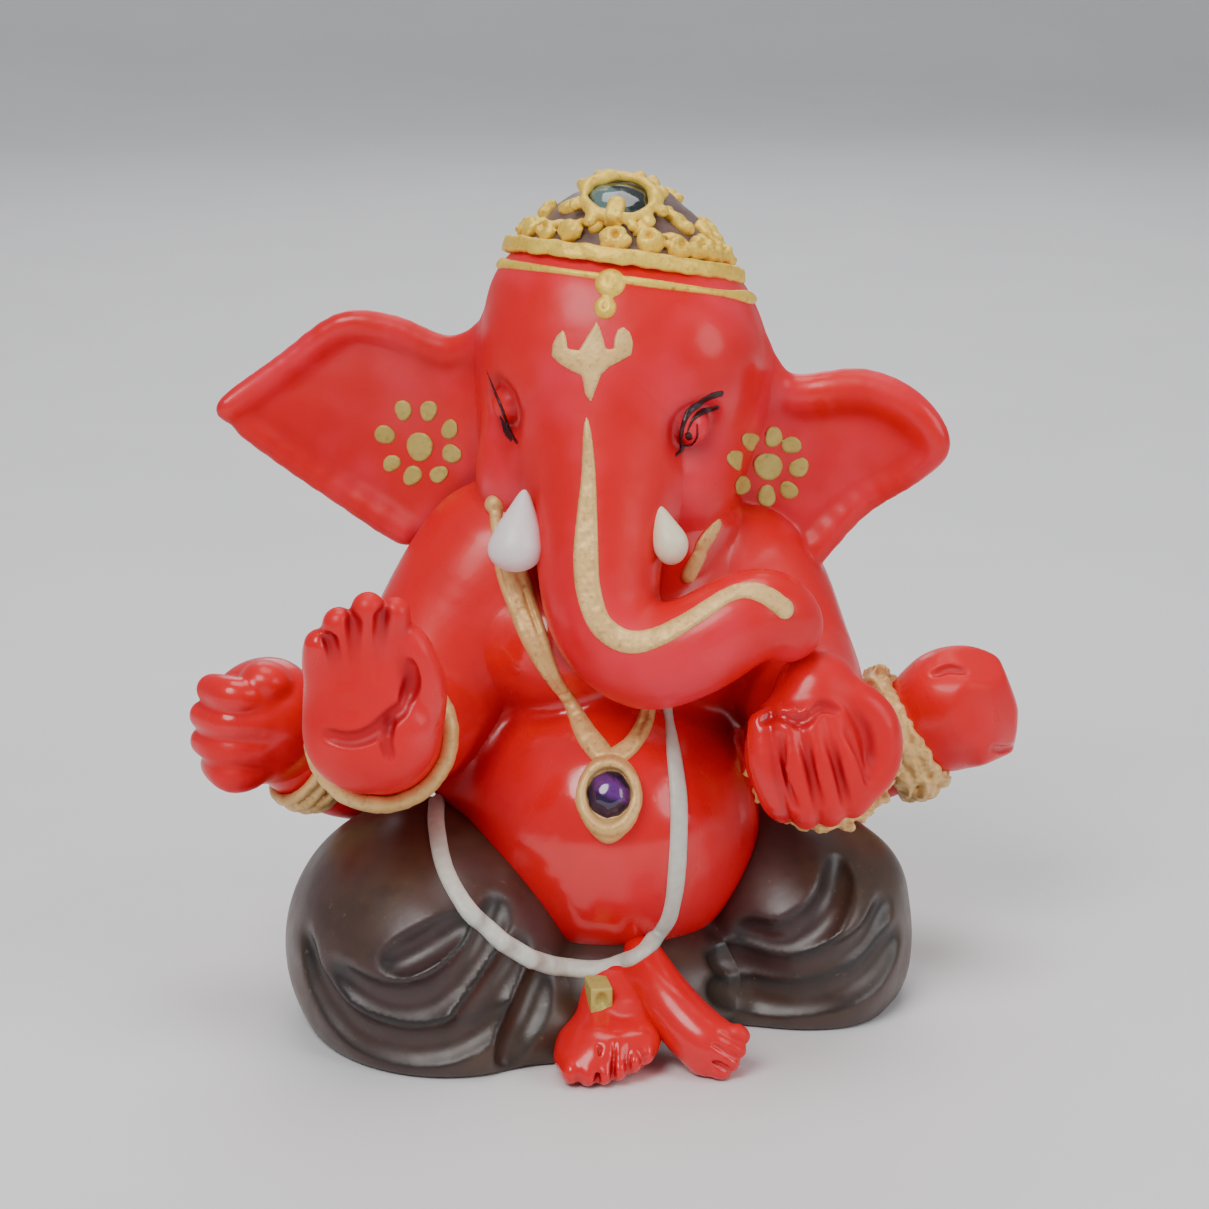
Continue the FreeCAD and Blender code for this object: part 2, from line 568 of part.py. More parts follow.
# arm, its hand, and where the key between them starts and points
WRISTS = [
    ("right_front_arm", "right_front_hand", (-28.4, -18.0, 34.6), (-26.8, -11.0, 32.4)),
    ("left_front_arm", "left_front_hand", (15.6, -17.0, 33.0), (16.8, -10.0, 31.8)),
    ("right_rear_arm", "right_rear_fist", (-37.6, 6.0, 28.4), (-31.6, 8.2, 25.0)),
    ("left_rear_arm", "left_rear_fist", (36.4, 7.0, 25.6), (29.4, 9.2, 22.4)),
]
arm_forms, hand_forms = {}, {}
for arm, hand, start, end in WRISTS:
    arm_forms[arm] = arm_form(arm)
    hand_forms[hand] = hand_form(hand, HANDS[hand])
in_front = {"right_rear_arm": "right_front_arm", "left_rear_arm": "left_front_arm"}
arms, hands = {}, {}
for arm, hand, start, end in WRISTS:
    hole = peg(f"{hand}_hole", start, end, 7.4, play=True)
    bar = peg(f"{hand}_key", start, end, 7.4)
    tools = [body_form, trunk_form]
    if arm in in_front:
        tools.append(arm_forms[in_front[arm]])
        tools += [right_leg_form, left_leg_form, hips_form]
    arms[arm] = cut(f"{arm}_made", arm_forms[arm], *tools, hole)
    free = cut(f"{hand}_free", hand_forms[hand], arm_forms[arm], body_form)
    hands[hand] = fuse(f"{hand}_made", [free, bar])
made = {"torso": torso, "right_leg": right_leg, "left_leg": left_leg, "seat": seat, "head": head, "trunk": trunk}
made.update(arms)
made.update(hands)
for side in ("right", "left"):
    made[f"{side}_tusk"] = tusks[side]
    ear = f"{side}_ear"
    made[ear] = cut(f"{ear}_made", ears[ear], body_form, arm_forms[f"{side}_front_arm"], head_form)
    made[f"{ear}_rosette"] = rosette(ear)

# ---- feet -------------------------------------------------------------------------------------
foot_forms = {name: hand_form(name, FEET[name]) for name in FEET}
made["right_foot"] = cut(
    "right_foot_made", foot_forms["right_foot"], below, seat_form, body_form, right_leg_form, left_leg_form,
)
made["left_foot"] = cut(
    "left_foot_made", foot_forms["left_foot"], below, seat_form, right_leg_form, left_leg_form,
    foot_forms["right_foot"],
)

# ---- bangles ----------------------------------------------------------------------------------
def hoop(name, at, facing, radius_cell, wire_cell):
    ring = doc.addObject("Part::Torus", name)
    ring.Placement = Placement(Vector(*at), turned(facing))
    ring.Angle1, ring.Angle2, ring.Angle3 = -180, 180, 360
    return bind(ring, Radius1=cell(radius_cell), Radius2=cell(wire_cell))


BANGLES = [
    ("right_front_bangle", (-27.4, -12.8, 32.8), (-0.2, -0.9, 0.34), "bangle_radius", "bangle_wire", 1,
     "right_front_arm", "right_front_hand"),
    ("left_front_bangle", (16.2, -12.0, 32.0), (-0.3, -0.95, 0.1), "bangle_radius", "bangle_wire", 1,
     "left_front_arm", "left_front_hand"),
    ("right_rear_bangle", (-32.0, 8.1, 24.4), (-0.72, -0.3, 0.62), "cuff_radius", "cuff_wire", 2,
     "right_rear_arm", "right_rear_fist"),
    ("left_rear_bangle", (28.6, 9.3, 21.4), (0.82, -0.24, 0.5), "cuff_radius", "cuff_wire", 2,
     "left_rear_arm", "left_rear_fist"),
]
for name, at, facing, radius_cell, wire_cell, count, arm, hand in BANGLES:
    rings = []
    for i in range(count):
        step = (i - (count - 1) / 2) * SIZES["cuff_pitch"]
        place = Vector(*at) + Vector(*facing).normalize() * step
        rings.append(hoop(f"{name}_ring_{i}", place, facing, radius_cell, wire_cell))
    ring_form = rings[0] if count == 1 else fuse(f"{name}_form", rings)
    others = [body_form, arm_forms[arm], hand_forms[hand], right_leg_form, left_leg_form, hips_form]
    if arm in in_front:
        others.append(arm_forms[in_front[arm]])
    made[name] = cut(f"{name}_made", ring_form, *others)


# ---- what stands on the crown ------------------------------------------------------------------
made["crown_cap"] = cut("crown_cap_made", dome, head_form, band)
made["crown_band"] = band
made["brow_cord"] = cord
lobes = []
LOBES = 15
for i in range(LOBES):
    angle = math.radians(-90 + (i - (LOBES - 1) / 2) * 14.4)
    out = SIZES["crown_radius"] * 0.985
    lobe = doc.addObject("Part::Sphere", f"lobe_{i}")
    lobe.Placement.Base = on_crown((out * math.cos(angle), out * math.sin(angle), SIZES["lobe_lift"]))
    bind(lobe, Radius=cell("lobe_radius"))
    lobes.append(lobe)
made["crown_scrolls"] = cut("crown_scrolls_made", in_head(fuse("lobes", lobes)), dome, band)

medal_angle = math.radians(SIZES["medal_slope"])
medal_out = SIZES["crown_radius"] * math.cos(medal_angle)
medal_up = SIZES["crown_height"] * math.sin(medal_angle)
medal_at = on_crown((0, -medal_out, medal_up))
facing = CROWN_LEAN.multVec(Vector(0, -math.cos(medal_angle), math.sin(medal_angle)))
medal = doc.addObject("Part::Torus", "medal_ring")
medal.Angle1, medal.Angle2, medal.Angle3 = -180, 180, 360
medal.Placement = Placement(medal_at, turned(facing))
bind(medal, Radius1=f"{cell('medal_radius')} - {cell('medal_rim')}", Radius2=cell("medal_rim"))
medal_form = in_head(cut("medal_form", medal, below))
made["crown_medallion_ring"] = cut("crown_medallion_ring_made", medal_form, dome)
stone = doc.addObject("Part::Ellipsoid", "crown_stone")
stone.Angle1, stone.Angle2, stone.Angle3 = -90, 90, 360
stone.Placement = Placement(medal_at, turned(facing))
bind(stone, Radius1=cell("stone_height"), Radius2=cell("stone_radius"), Radius3=cell("stone_radius"))
stone_form = in_head(cut("stone_form", stone, below))
made["crown_gem"] = cut("crown_gem_made", stone_form, dome, medal_form)

# the small arched block that stands at the foot of the medallion
key_angle = math.radians(SIZES["medal_slope"] - 27)
key_at = on_crown((
    0,
    -SIZES["crown_radius"] * math.cos(key_angle),
    SIZES["crown_height"] * math.sin(key_angle),
))
arch = doc.addObject("Part::Ellipsoid", "keystone_arch")
arch.Angle1, arch.Angle2, arch.Angle3 = -90, 90, 360
arch.Placement = Placement(key_at, CROWN_LEAN)
bind(
    arch, Radius1=f"{cell('keystone_height')} / 2", Radius2=f"{cell('keystone_width')} / 2",
    Radius3=f"{cell('keystone_width')} / 2",
)
arch_form = in_head(cut("keystone_form", arch, below))
made["crown_keystone"] = cut("crown_keystone_made", arch_form, dome, medal_form, band)

# ---- marks on the face ------------------------------------------------------------------------
drops = []
for i, (x, z) in enumerate([(-1.1, 15.4), (-1.1, 12.6)]):
    drop = doc.addObject("Part::Sphere", f"brow_drop_{i}")
    drop.Placement.Base = Vector(x, head_front(x, z) - 0.1, z)
    bind(drop, Radius=f"{cell('drop_radius')} - {0.25 * i}")
    drops.append(drop)
made["brow_drops"] = cut("brow_drops_made", in_head(fuse("drops", drops)), head_form, cord, band)

grown_head = in_head(stack("grown_head", "head_skin", grow="mark_relief"))
MARK = [(-1.6, 11.0), (-0.7, 7.8), (-0.6, 6.6), (0.9, 6.9), (1.0, 9.3), (1.9, 9.9), (2.9, 8.6), (2.4, 6.6),
        (-0.1, 5.2), (-0.7, 4.2), (-1.1, 3.2), (-2.0, 5.1), (-4.6, 6.2), (-5.9, 7.8), (-5.4, 9.3), (-4.2, 9.6),
        (-4.0, 7.4), (-2.8, 7.0), (-2.6, 7.9)]
mark_form = in_head(extrude("mark_form", outline("mark_outline", MARK, smooth=False), -30, 0))
made["tilak"] = cut("tilak_made", common("tilak_skin", mark_form, grown_head), head_form)

STRIPE = []
trunk_rows = HEAD_LIMBS["trunk_skin"]
STRIPE.append((-1.3, head_front(-1.3, 1.6) - 0.1, 1.6))
for i in range(1, len(trunk_rows)):
    at = Vector(*trunk_rows[i][:3])
    ahead = Vector(*trunk_rows[min(i + 1, len(trunk_rows) - 1)][:3])
    behind = Vector(*trunk_rows[i - 1][:3])
    along = (ahead - behind).normalize()
    lift = 0.0 if i < 4 else 0.62
    side = Vector(-0.12 if i < 3 else 0.0, -1, lift)
    side = (side - along * side.dot(along)).normalize()
    STRIPE.append(tuple(at + side * (trunk_rows[i][3] + 0.05)))
stripe_form = in_head(bead("stripe_form", STRIPE, "stripe_radius", 0.85, taper=lambda s: min(1.0, 0.3 + 1.8 * s)))
made["trunk_stripe"] = cut("trunk_stripe_made", stripe_form, head_form, trunk_form, body_form, mark_form)

EYES = {"right_eye": (-11.2, 0.2, -1, 0.62), "left_eye": (8.8, 1.0, 1, 0.72)}
for name, (x, z, side, droop) in EYES.items():
    at = Vector(x, head_front(x, z), z)
    out = Vector((x + 0.4) / 14.5 ** 2, (at.y + 0.5) / 14.0 ** 2, 0).normalize()
    level = out.cross(Vector(0, 0, 1)) * side
    long_way = (level * -1 + Vector(0, 0, droop)).normalize()
    if long_way.x * side < 0:
        long_way = Vector(-long_way.x, -long_way.y, long_way.z)
    eye = doc.addObject("Part::Ellipsoid", f"{name}_almond")
    eye.Angle1, eye.Angle2, eye.Angle3 = -90, 90, 360
    eye.Placement = Placement(at, Rotation(long_way, Vector(), out, "ZXY"))
    bind(eye, Radius1=cell("eye_relief"), Radius2=cell("eye_long"), Radius3=cell("eye_short"))
    made[name] = cut(f"{name}_made", in_head(cut(f"{name}_form", eye, below)), head_form)

# ---- ornaments on the body --------------------------------------------------------------------
front_things = [body_form, head_form, trunk_form, tusks["right"], tusks["left"]]


def laid(points, sink=0.2):
    """The same points, brought forward to the body's surface where they are behind it."""
    return [(x, min(y, front_of(x, z) - sink), z) for x, y, z in points]


strap_points = laid(STRAP)
strap_form = bead("strap_form", strap_points, "strap_radius", SIZES["strap_radius"])
made["necklace_right_strand"] = cut("necklace_right_made", strap_form, *front_things, arm_forms["right_front_arm"])
short_points = laid(SHORT_STRAP)
short_form = bead("short_form", short_points, "strap_radius", SIZES["strap_radius"])
made["necklace_left_strand"] = cut("necklace_left_made", short_form, *front_things, strap_form)
shoulder_points = laid(SHOULDER_STRAP)
shoulder_form = bead("shoulder_form", shoulder_points, "strap_radius", SIZES["strap_radius"])
made["shoulder_strap"] = cut("shoulder_made", shoulder_form, *front_things, arm_forms["left_front_arm"])

PENDANT_AT = Vector(PENDANT[0], front_of(*PENDANT) + 0.4, PENDANT[1])
PENDANT_TURN = Rotation(Vector(1, 0, 0), 68)
plate = doc.addObject("PartDesign::Body", "pendant_body")
plate_sketch = doc.addObject("Sketcher::SketchObject", "pendant_outline")
plate.addObject(plate_sketch)
flat = [face for face in plate.Origin.OriginFeatures if getattr(face, "Role", "") == "XY_Plane"][0]
plate_sketch.AttachmentSupport = [(flat, "")]
plate_sketch.MapMode = "FlatFace"
half_wide, half_high = SIZES["pendant_width"] / 2, SIZES["pendant_height"] / 2
rim = []
for i in range(16):
    angle = 2 * math.pi * i / 16
    narrow = 1 - 0.22 * max(0.0, -math.sin(angle)) ** 2
    rim.append(Vector(half_wide * math.cos(angle) * narrow, half_high * math.sin(angle), 0))
rim_curve = Part.BSplineCurve()
rim_curve.interpolate(Points=rim, PeriodicFlag=True)
plate_sketch.addGeometry(rim_curve)
pad = doc.addObject("PartDesign::Pad", "pendant_pad")
plate.addObject(pad)
pad.Profile = plate_sketch
bind(pad, Length=cell("pendant_thickness"))
doc.recompute()
bowl_sketch = doc.addObject("Sketcher::SketchObject", "pendant_bowl")
plate.addObject(bowl_sketch)
bowl_sketch.AttachmentSupport = [(flat, "")]
bowl_sketch.MapMode = "FlatFace"
bind(bowl_sketch, AttachmentOffset__Base__z=f"{cell('pendant_thickness')} - {cell('pocket_depth')}")
bowl_sketch.addGeometry(Part.Circle(Vector(0, 0.7, 0), Vector(0, 0, 1), SIZES["pendant_stone"] + 0.05))
bowl = doc.addObject("PartDesign::Pocket", "pendant_pocket")
plate.addObject(bowl)
bowl.Profile = bowl_sketch
bowl.Reversed = True
bowl.Length = 5
plate.Tip = bowl
plate.Placement = Placement(PENDANT_AT, PENDANT_TURN)
made["pendant_setting"] = cut("pendant_made", plate, body_form, strap_form, short_form)
gem = doc.addObject("Part::Ellipsoid", "gem_form")
gem.Angle1, gem.Angle2, gem.Angle3 = 0, 90, 360
gem_lift = SIZES["pendant_thickness"] - SIZES["pocket_depth"]
gem.Placement = Placement(PENDANT_AT + PENDANT_TURN.multVec(Vector(0, 0.7, gem_lift)), PENDANT_TURN)
gem.Radius1 = 1.7
bind(gem, Radius2=cell("pendant_stone"), Radius3=cell("pendant_stone"))
made["pendant_gem"] = gem

thread_points = laid(THREAD, sink=0.0)
thread_form = bead("thread_form", thread_points, "thread_radius", SIZES["thread_radius"])
made["sacred_thread"] = cut(
    "sacred_thread_made", thread_form, body_form, seat_form, right_leg_form, left_leg_form,
    arm_forms["right_front_arm"], trunk_form, foot_forms["right_foot"], foot_forms["left_foot"],
)

clasp = doc.addObject("Part::Box", "clasp_form")
clasp.Placement.Base = Vector(CLASP[0] - SIZES["clasp_width"] / 2, front_of(*CLASP) - 0.9, CLASP[1] - 1.5)
bind(clasp, Length=cell("clasp_width"), Width=f"{cell('clasp_depth')} + 1", Height=cell("clasp_height"))
made["waist_clasp"] = cut(
    "waist_clasp_made", clasp, body_form, seat_form, right_leg_form, left_leg_form, thread_form,
    foot_forms["right_foot"], foot_forms["left_foot"],
)

doc.recompute()

# ---- check and write --------------------------------------------------------------------------
for obj in doc.Objects:
    if "Invalid" in obj.State or "Error" in obj.State:
        raise RuntimeError(f"{obj.Name} did not compute")
os.makedirs("parts", exist_ok=True)
for name, obj in made.items():
    shape = obj.Shape
    if shape.isNull() or not shape.isValid() or not shape.Solids:
        raise RuntimeError(f"{name} has no valid solid")
for name, obj in made.items():
    obj.Label = name
    obj.Shape.exportStep(f"parts/{name}.step")
    print(name, len(obj.Shape.Solids), round(obj.Shape.Volume, 1))
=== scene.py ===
"""The look of the seated elephant-headed figure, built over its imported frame.

The figure is modelled as clay: each form is a field of distances on an even grid, forms are run
together or cut into one another softly, and the result is skinned and shared out between the
frame's nodes. Lengths are millimetres while modelling and metres in the finished meshes. Forms
are drawn about the nominal middle of a node and follow the middle of that node's real box.
"""
import itertools
import math

import bpy
import numpy as np
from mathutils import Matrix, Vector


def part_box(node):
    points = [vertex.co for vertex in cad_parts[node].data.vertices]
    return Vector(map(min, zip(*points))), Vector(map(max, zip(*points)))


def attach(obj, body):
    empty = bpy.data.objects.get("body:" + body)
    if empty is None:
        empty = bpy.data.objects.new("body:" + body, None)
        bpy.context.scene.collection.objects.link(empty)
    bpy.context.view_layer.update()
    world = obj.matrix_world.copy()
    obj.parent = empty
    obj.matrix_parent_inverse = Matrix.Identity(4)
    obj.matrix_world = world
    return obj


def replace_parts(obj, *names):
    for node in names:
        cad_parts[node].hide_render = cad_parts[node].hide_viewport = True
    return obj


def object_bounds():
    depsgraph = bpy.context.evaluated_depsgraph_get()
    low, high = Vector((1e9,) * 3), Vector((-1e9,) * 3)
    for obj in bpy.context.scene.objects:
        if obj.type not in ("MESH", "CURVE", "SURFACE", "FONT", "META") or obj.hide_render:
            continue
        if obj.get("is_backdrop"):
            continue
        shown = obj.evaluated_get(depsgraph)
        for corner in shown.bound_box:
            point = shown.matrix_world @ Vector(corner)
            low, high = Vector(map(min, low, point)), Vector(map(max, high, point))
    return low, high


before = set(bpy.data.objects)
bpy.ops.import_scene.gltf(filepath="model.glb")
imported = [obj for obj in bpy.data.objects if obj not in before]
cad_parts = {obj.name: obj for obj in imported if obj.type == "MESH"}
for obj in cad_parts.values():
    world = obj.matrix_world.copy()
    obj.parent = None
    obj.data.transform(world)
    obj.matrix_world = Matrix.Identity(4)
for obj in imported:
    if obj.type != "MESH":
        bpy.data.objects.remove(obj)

import openvdb
from mathutils import Matrix, Vector

CAD_LOW, CAD_HIGH = [[float(v) for v in corner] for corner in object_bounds()]
MM = 0.001  # a millimetre in metres
MARGIN = 4.0  # how far round a form its distances are worked out
FAR_OFF = 9.0  # the distance in an empty block


# ---- where things are -------------------------------------------------------------------------
def middle(node):
    """The middle of a node's box, in millimetres."""
    low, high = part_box(node)
    return np.array([(a + b) * 500.0 for a, b in zip(low, high)])


FOOT = np.array([(CAD_LOW[0] + CAD_HIGH[0]) * 500, (CAD_LOW[1] + CAD_HIGH[1]) * 500, CAD_LOW[2] * 1000])


def turn(axis, degrees):
    return np.array(Matrix.Rotation(math.radians(degrees), 3, axis))


class Place:
    """A frame of its own: points drawn in it are turned, then moved."""

    def __init__(self, origin, rotation=None):
        self.origin = np.array(origin, float)
        self.rotation = np.eye(3) if rotation is None else rotation

    def out(self, point):
        return self.origin + self.rotation @ np.array(point, float)

    def into(self, x, y, z):
        """Grid coordinates taken into this frame."""
        dx, dy, dz = x - self.origin[0], y - self.origin[1], z - self.origin[2]
        r = self.rotation
        return (
            r[0, 0] * dx + r[1, 0] * dy + r[2, 0] * dz,
            r[0, 1] * dx + r[1, 1] * dy + r[2, 1] * dz,
            r[0, 2] * dx + r[1, 2] * dy + r[2, 2] * dz,
        )


PLAIN = Place((0, 0, 0))
WORLD = Place(FOOT)
HEAD = Place(FOOT + (0.2, 5.0, 62.0), turn("Z", -18) @ turn("Y", 6.5))
CROWN_SEAT = Place(HEAD.out((-1.7, 0.6, 13.9)), HEAD.rotation @ turn("X", -11.5))
VIEW_CENTRE = np.array((-1.4, 7.0, 40.0))  # what the camera looks at, and where it looks from
VIEW_AZIMUTH, VIEW_ELEVATION = -10.0, 15.0


# ---- distances --------------------------------------------------------------------------------
def soft_min(a, b, k):
    h = np.clip(0.5 + 0.5 * (b - a) / k, 0.0, 1.0)
    return b + (a - b) * h - k * h * (1.0 - h)


def soft_max(a, b, k):
    return -soft_min(-a, -b, k)


def clamp01(value):
    return np.clip(value, 0.0, 1.0)


class Form:
    """A closed form: how far each point is from it, and the box it lies in."""

    def __init__(self, far, low, high, place=WORLD):
        self.far, self.place = far, place
        corners = [place.out(corner) for corner in itertools.product(*zip(low, high))]
        self.low, self.high = np.min(corners, axis=0), np.max(corners, axis=0)

    def at(self, x, y, z):
        return self.far(*self.place.into(x, y, z))


def egg(centre, radii, place=WORLD, tilt=None):
    """An ellipsoid, turned by tilt about its own middle."""
    c, r = np.array(centre, float), np.array(radii, float)
    reach = np.full(3, r.max()) if tilt is not None else r

    def far(x, y, z):
        x, y, z = x - c[0], y - c[1], z - c[2]
        if tilt is not None:
            x, y, z = Place((0, 0, 0), tilt).into(x, y, z)
        k0 = np.sqrt((x / r[0]) ** 2 + (y / r[1]) ** 2 + (z / r[2]) ** 2)
        k1 = np.sqrt((x / r[0] ** 2) ** 2 + (y / r[1] ** 2) ** 2 + (z / r[2] ** 2) ** 2)
        return k0 * (k0 - 1.0) / np.maximum(k1, 1e-6)

    return Form(far, c - reach, c + reach, place)


def rod(start, end, r_start, r_end=None, place=WORLD):
    """A round bar that may taper, with round ends."""
    a, b = np.array(start, float), np.array(end, float)
    r_end = r_start if r_end is None else r_end
    along = b - a
    length2 = max(float(along @ along), 1e-9)

    def far(x, y, z):
        dx, dy, dz = x - a[0], y - a[1], z - a[2]
        t = clamp01((dx * along[0] + dy * along[1] + dz * along[2]) / length2)
        return (
            np.sqrt((dx - t * along[0]) ** 2 + (dy - t * along[1]) ** 2 + (dz - t * along[2]) ** 2)
            - r_start - (r_end - r_start) * t
        )

    r = max(r_start, r_end)
    return Form(far, np.minimum(a, b) - r, np.maximum(a, b) + r, place)


def bend(p0, p1, p2, p3, t):
    """The point a share t of the way from p1 to p2, on the smooth line through all four."""
    square, cube = 2 * p0 - 5 * p1 + 4 * p2 - p3, 3 * p1 - p0 - 3 * p2 + p3
    return 0.5 * (2 * p1 + (p2 - p0) * t + square * t * t + cube * t ** 3)


def curve(points, count):
    """Points drawn through these, evenly shared out, on a smooth line. Extra columns go along."""
    pts = np.array(points, float)
    ahead = np.vstack([2 * pts[0] - pts[1], pts, 2 * pts[-1] - pts[-2]])
    spans = len(pts) - 1
    out = []
    for s in np.linspace(0, spans, count):
        i = min(int(s), spans - 1)
        out.append(bend(*ahead[i:i + 4], s - i))
    return np.array(out)


def limb(rows, place=WORLD, blend=0.6, count=None):
    """A bent round form through rows of x, y, z and radius."""
    line = curve(rows, count or 4 * (len(rows) - 1) + 1)
    bars = [rod(a[:3], b[:3], a[3], b[3]) for a, b in zip(line, line[1:])]

    def far(x, y, z):
        best = None
        for bar in bars:
            d = bar.far(x, y, z)
            best = d if best is None else soft_min(best, d, blend)
        return best

    low = (line[:, :3] - line[:, 3:4]).min(axis=0)
    high = (line[:, :3] + line[:, 3:4]).max(axis=0)
    return Form(far, low, high, place)


def ring(centre, axis, radius, wire, place=WORLD):
    """A round hoop."""
    c, n = np.array(centre, float), np.array(axis, float)
    n = n / np.linalg.norm(n)

    def far(x, y, z):
        x, y, z = x - c[0], y - c[1], z - c[2]
        up = x * n[0] + y * n[1] + z * n[2]
        flat = np.sqrt(np.maximum(x * x + y * y + z * z - up * up, 0))
        return np.sqrt((flat - radius) ** 2 + up * up) - wire

    reach = radius + wire
    return Form(far, c - reach, c + reach, place)


def beyond(way, spot, low, high):
    """All that lies past the flat face through spot that looks along way, within a box."""
    def far(x, y, z):
        return -((x - spot[0]) * way[0] + (y - spot[1]) * way[1] + (z - spot[2]) * way[2])

    return Form(far, low, high, PLAIN)


def outline_far(px, pz, outline):
    """Distance to a closed outline in a plane, less than nothing inside it."""
    best = np.full(np.broadcast(px, pz).shape, 1e9, np.float32)
    inside = np.zeros(best.shape, bool)
    for (ax, az), (bx, bz) in zip(outline, np.roll(outline, -1, axis=0)):
        ex, ez = bx - ax, bz - az
        t = clamp01(((px - ax) * ex + (pz - az) * ez) / max(ex * ex + ez * ez, 1e-9))
        best = np.minimum(best, (px - ax - t * ex) ** 2 + (pz - az - t * ez) ** 2)
        crosses = ((az > pz) != (bz > pz)) & (px < (bx - ax) * (pz - az) / (bz - az + 1e-12) + ax)
        inside ^= crosses
    best = np.sqrt(best)
    return np.where(inside, -best, best)


def closed_curve(points, count):
    """A smooth closed outline through points."""
    pts = np.array(points, float)
    n = len(pts)
    out = []
    for s in np.linspace(0, n, count, endpoint=False):
        i = int(s)
        out.append(bend(*(pts[(i + k) % n] for k in (-1, 0, 1, 2)), s - i))
    return np.array(out)


def ripple(x, y, z, scale, seed=0):
    """A soft unevenness of the clay, between about -1 and 1, that repeats only far away."""
    rng = np.random.RandomState(seed)
    total = 0.0
    for _ in range(5):
        way = rng.normal(size=3)
        way *= (0.7 + 0.8 * rng.rand()) / (scale * np.linalg.norm(way))
        total = total + np.sin(2 * math.pi * (x * way[0] + y * way[1] + z * way[2]) + rng.rand() * 6.28)
    return total / 3.2


class Clay:
    """A block of distances on an even grid that forms are added to and cut from."""

    def __init__(self, low, high, step):
        self.step = step
        self.low = np.array(low, float)
        counts = np.ceil((np.array(high) - self.low) / step).astype(int) + 1
        self.axes = [(self.low[i] + step * np.arange(counts[i])).astype(np.float32) for i in range(3)]
        self.values = np.full(counts, FAR_OFF, np.float32)

    @classmethod
    def about(cls, forms, step, margin=2.0):
        low = np.min([form.low for form in forms], axis=0) - margin
        high = np.max([form.high for form in forms], axis=0) + margin
        return cls(low, high, step)

    def like(self):
        other = Clay.__new__(Clay)
        other.step, other.low, other.axes = self.step, self.low, self.axes
        other.values = np.full(self.values.shape, FAR_OFF, np.float32)
        return other

    def window(self, form, margin):
        cuts = []
        for i in range(3):
            a = int(np.floor((form.low[i] - margin - self.low[i]) / self.step))
            b = int(np.ceil((form.high[i] + margin - self.low[i]) / self.step)) + 1
            cuts.append(slice(max(a, 0), max(min(b, self.values.shape[i]), 0)))
        return tuple(cuts)

    def grid(self, cuts=(slice(None),) * 3):
        x, y, z = (axis[cut] for axis, cut in zip(self.axes, cuts))
        return x[:, None, None], y[None, :, None], z[None, None, :]

    def put(self, form, blend=0.0, margin=MARGIN):
        """Adds a form, run together with what is there over a width of blend."""
        cuts = self.window(form, margin)
        part = self.values[cuts]
        if part.size:
            far = form.at(*self.grid(cuts))
            self.values[cuts] = soft_min(part, far, blend) if blend else np.minimum(part, far)

    def eggs(self, place, rows):
        """Adds ellipsoids, each given as its middle, radii and blend."""
        for centre, radii, blend in rows:
            self.put(egg(centre, radii, place), blend)

    def join(self, other, blend):
        """Runs another clay on the same grid together with this one."""
        self.values = soft_min(self.values, other.values, blend)

    def stand(self, floor, blend):
        """Cuts off what lies below a height."""
        self.values = soft_max(self.values, (floor - self.grid()[2]) + np.zeros_like(self.values), blend)

    def roughen(self, *waves):
        """Makes the surface uneven by waves, each given as its depth, its length and a seed."""
        for depth, length, seed in waves:
            self.values = self.values + depth * ripple(*self.grid(), length, seed)

    def cut(self, form, blend=0.3, margin=1.5):
        """Cuts a form out, with its edge eased over a width of blend."""
        cuts = self.window(form, margin)
        part = self.values[cuts]
        if part.size:
            self.values[cuts] = soft_max(part, -form.at(*self.grid(cuts)), blend)

    def sample(self, points):
        """The distances at points, read between the grid's own."""
        index = (np.asarray(points) - self.low) / self.step
        top = np.array(self.values.shape) - 1.001
        index = np.clip(index, 0, top)
        base = index.astype(int)
        share = index - base
        total = 0.0
        for corner in range(8):
            bits = [(corner >> k) & 1 for k in range(3)]
            weight = np.prod([share[:, k] if bits[k] else 1 - share[:, k] for k in range(3)], axis=0)
            total = total + weight * self.values[tuple((base + bits).T)]
        return total

    def onto(self, axes):
        """These distances on another even grid, given by its axes."""
        values = self.values
        for i, axis in enumerate(axes):
            index = np.clip((axis - self.low[i]) / self.step, 0, values.shape[i] - 1.001)
            base = index.astype(int)
            share = (index - base).astype(np.float32)
            shape = [1, 1, 1]
            shape[i] = -1
            share = share.reshape(shape)
            values = np.take(values, base, axis=i) * (1 - share) + np.take(values, base + 1, axis=i) * share
        return values

    def slope(self, points, reach=0.5):
        """The outward direction of the surface at points."""
        parts = []
        for i in range(3):
            step = np.zeros(3)
            step[i] = reach
            parts.append(self.sample(points + step) - self.sample(points - step))
        way = np.stack(parts, axis=1)
        return way / np.maximum(np.linalg.norm(way, axis=1, keepdims=True), 1e-9)

    def drop(self, start, way, reach=40.0):
        """Where a straight line from start first meets the clay."""
        start, way = np.array(start, float), np.array(way, float) / np.linalg.norm(way)
        steps = np.arange(0, reach, self.step * 0.5)
        line = start + steps[:, None] * way
        far = self.sample(line)
        hits = np.nonzero(far < 0)[0]
        if len(hits) == 0:
            return line[int(np.argmin(far))]
        i = hits[0]
        if i == 0:
            return line[0]
        share = far[i - 1] / (far[i - 1] - far[i])
        return line[i - 1] + (line[i] - line[i - 1]) * share


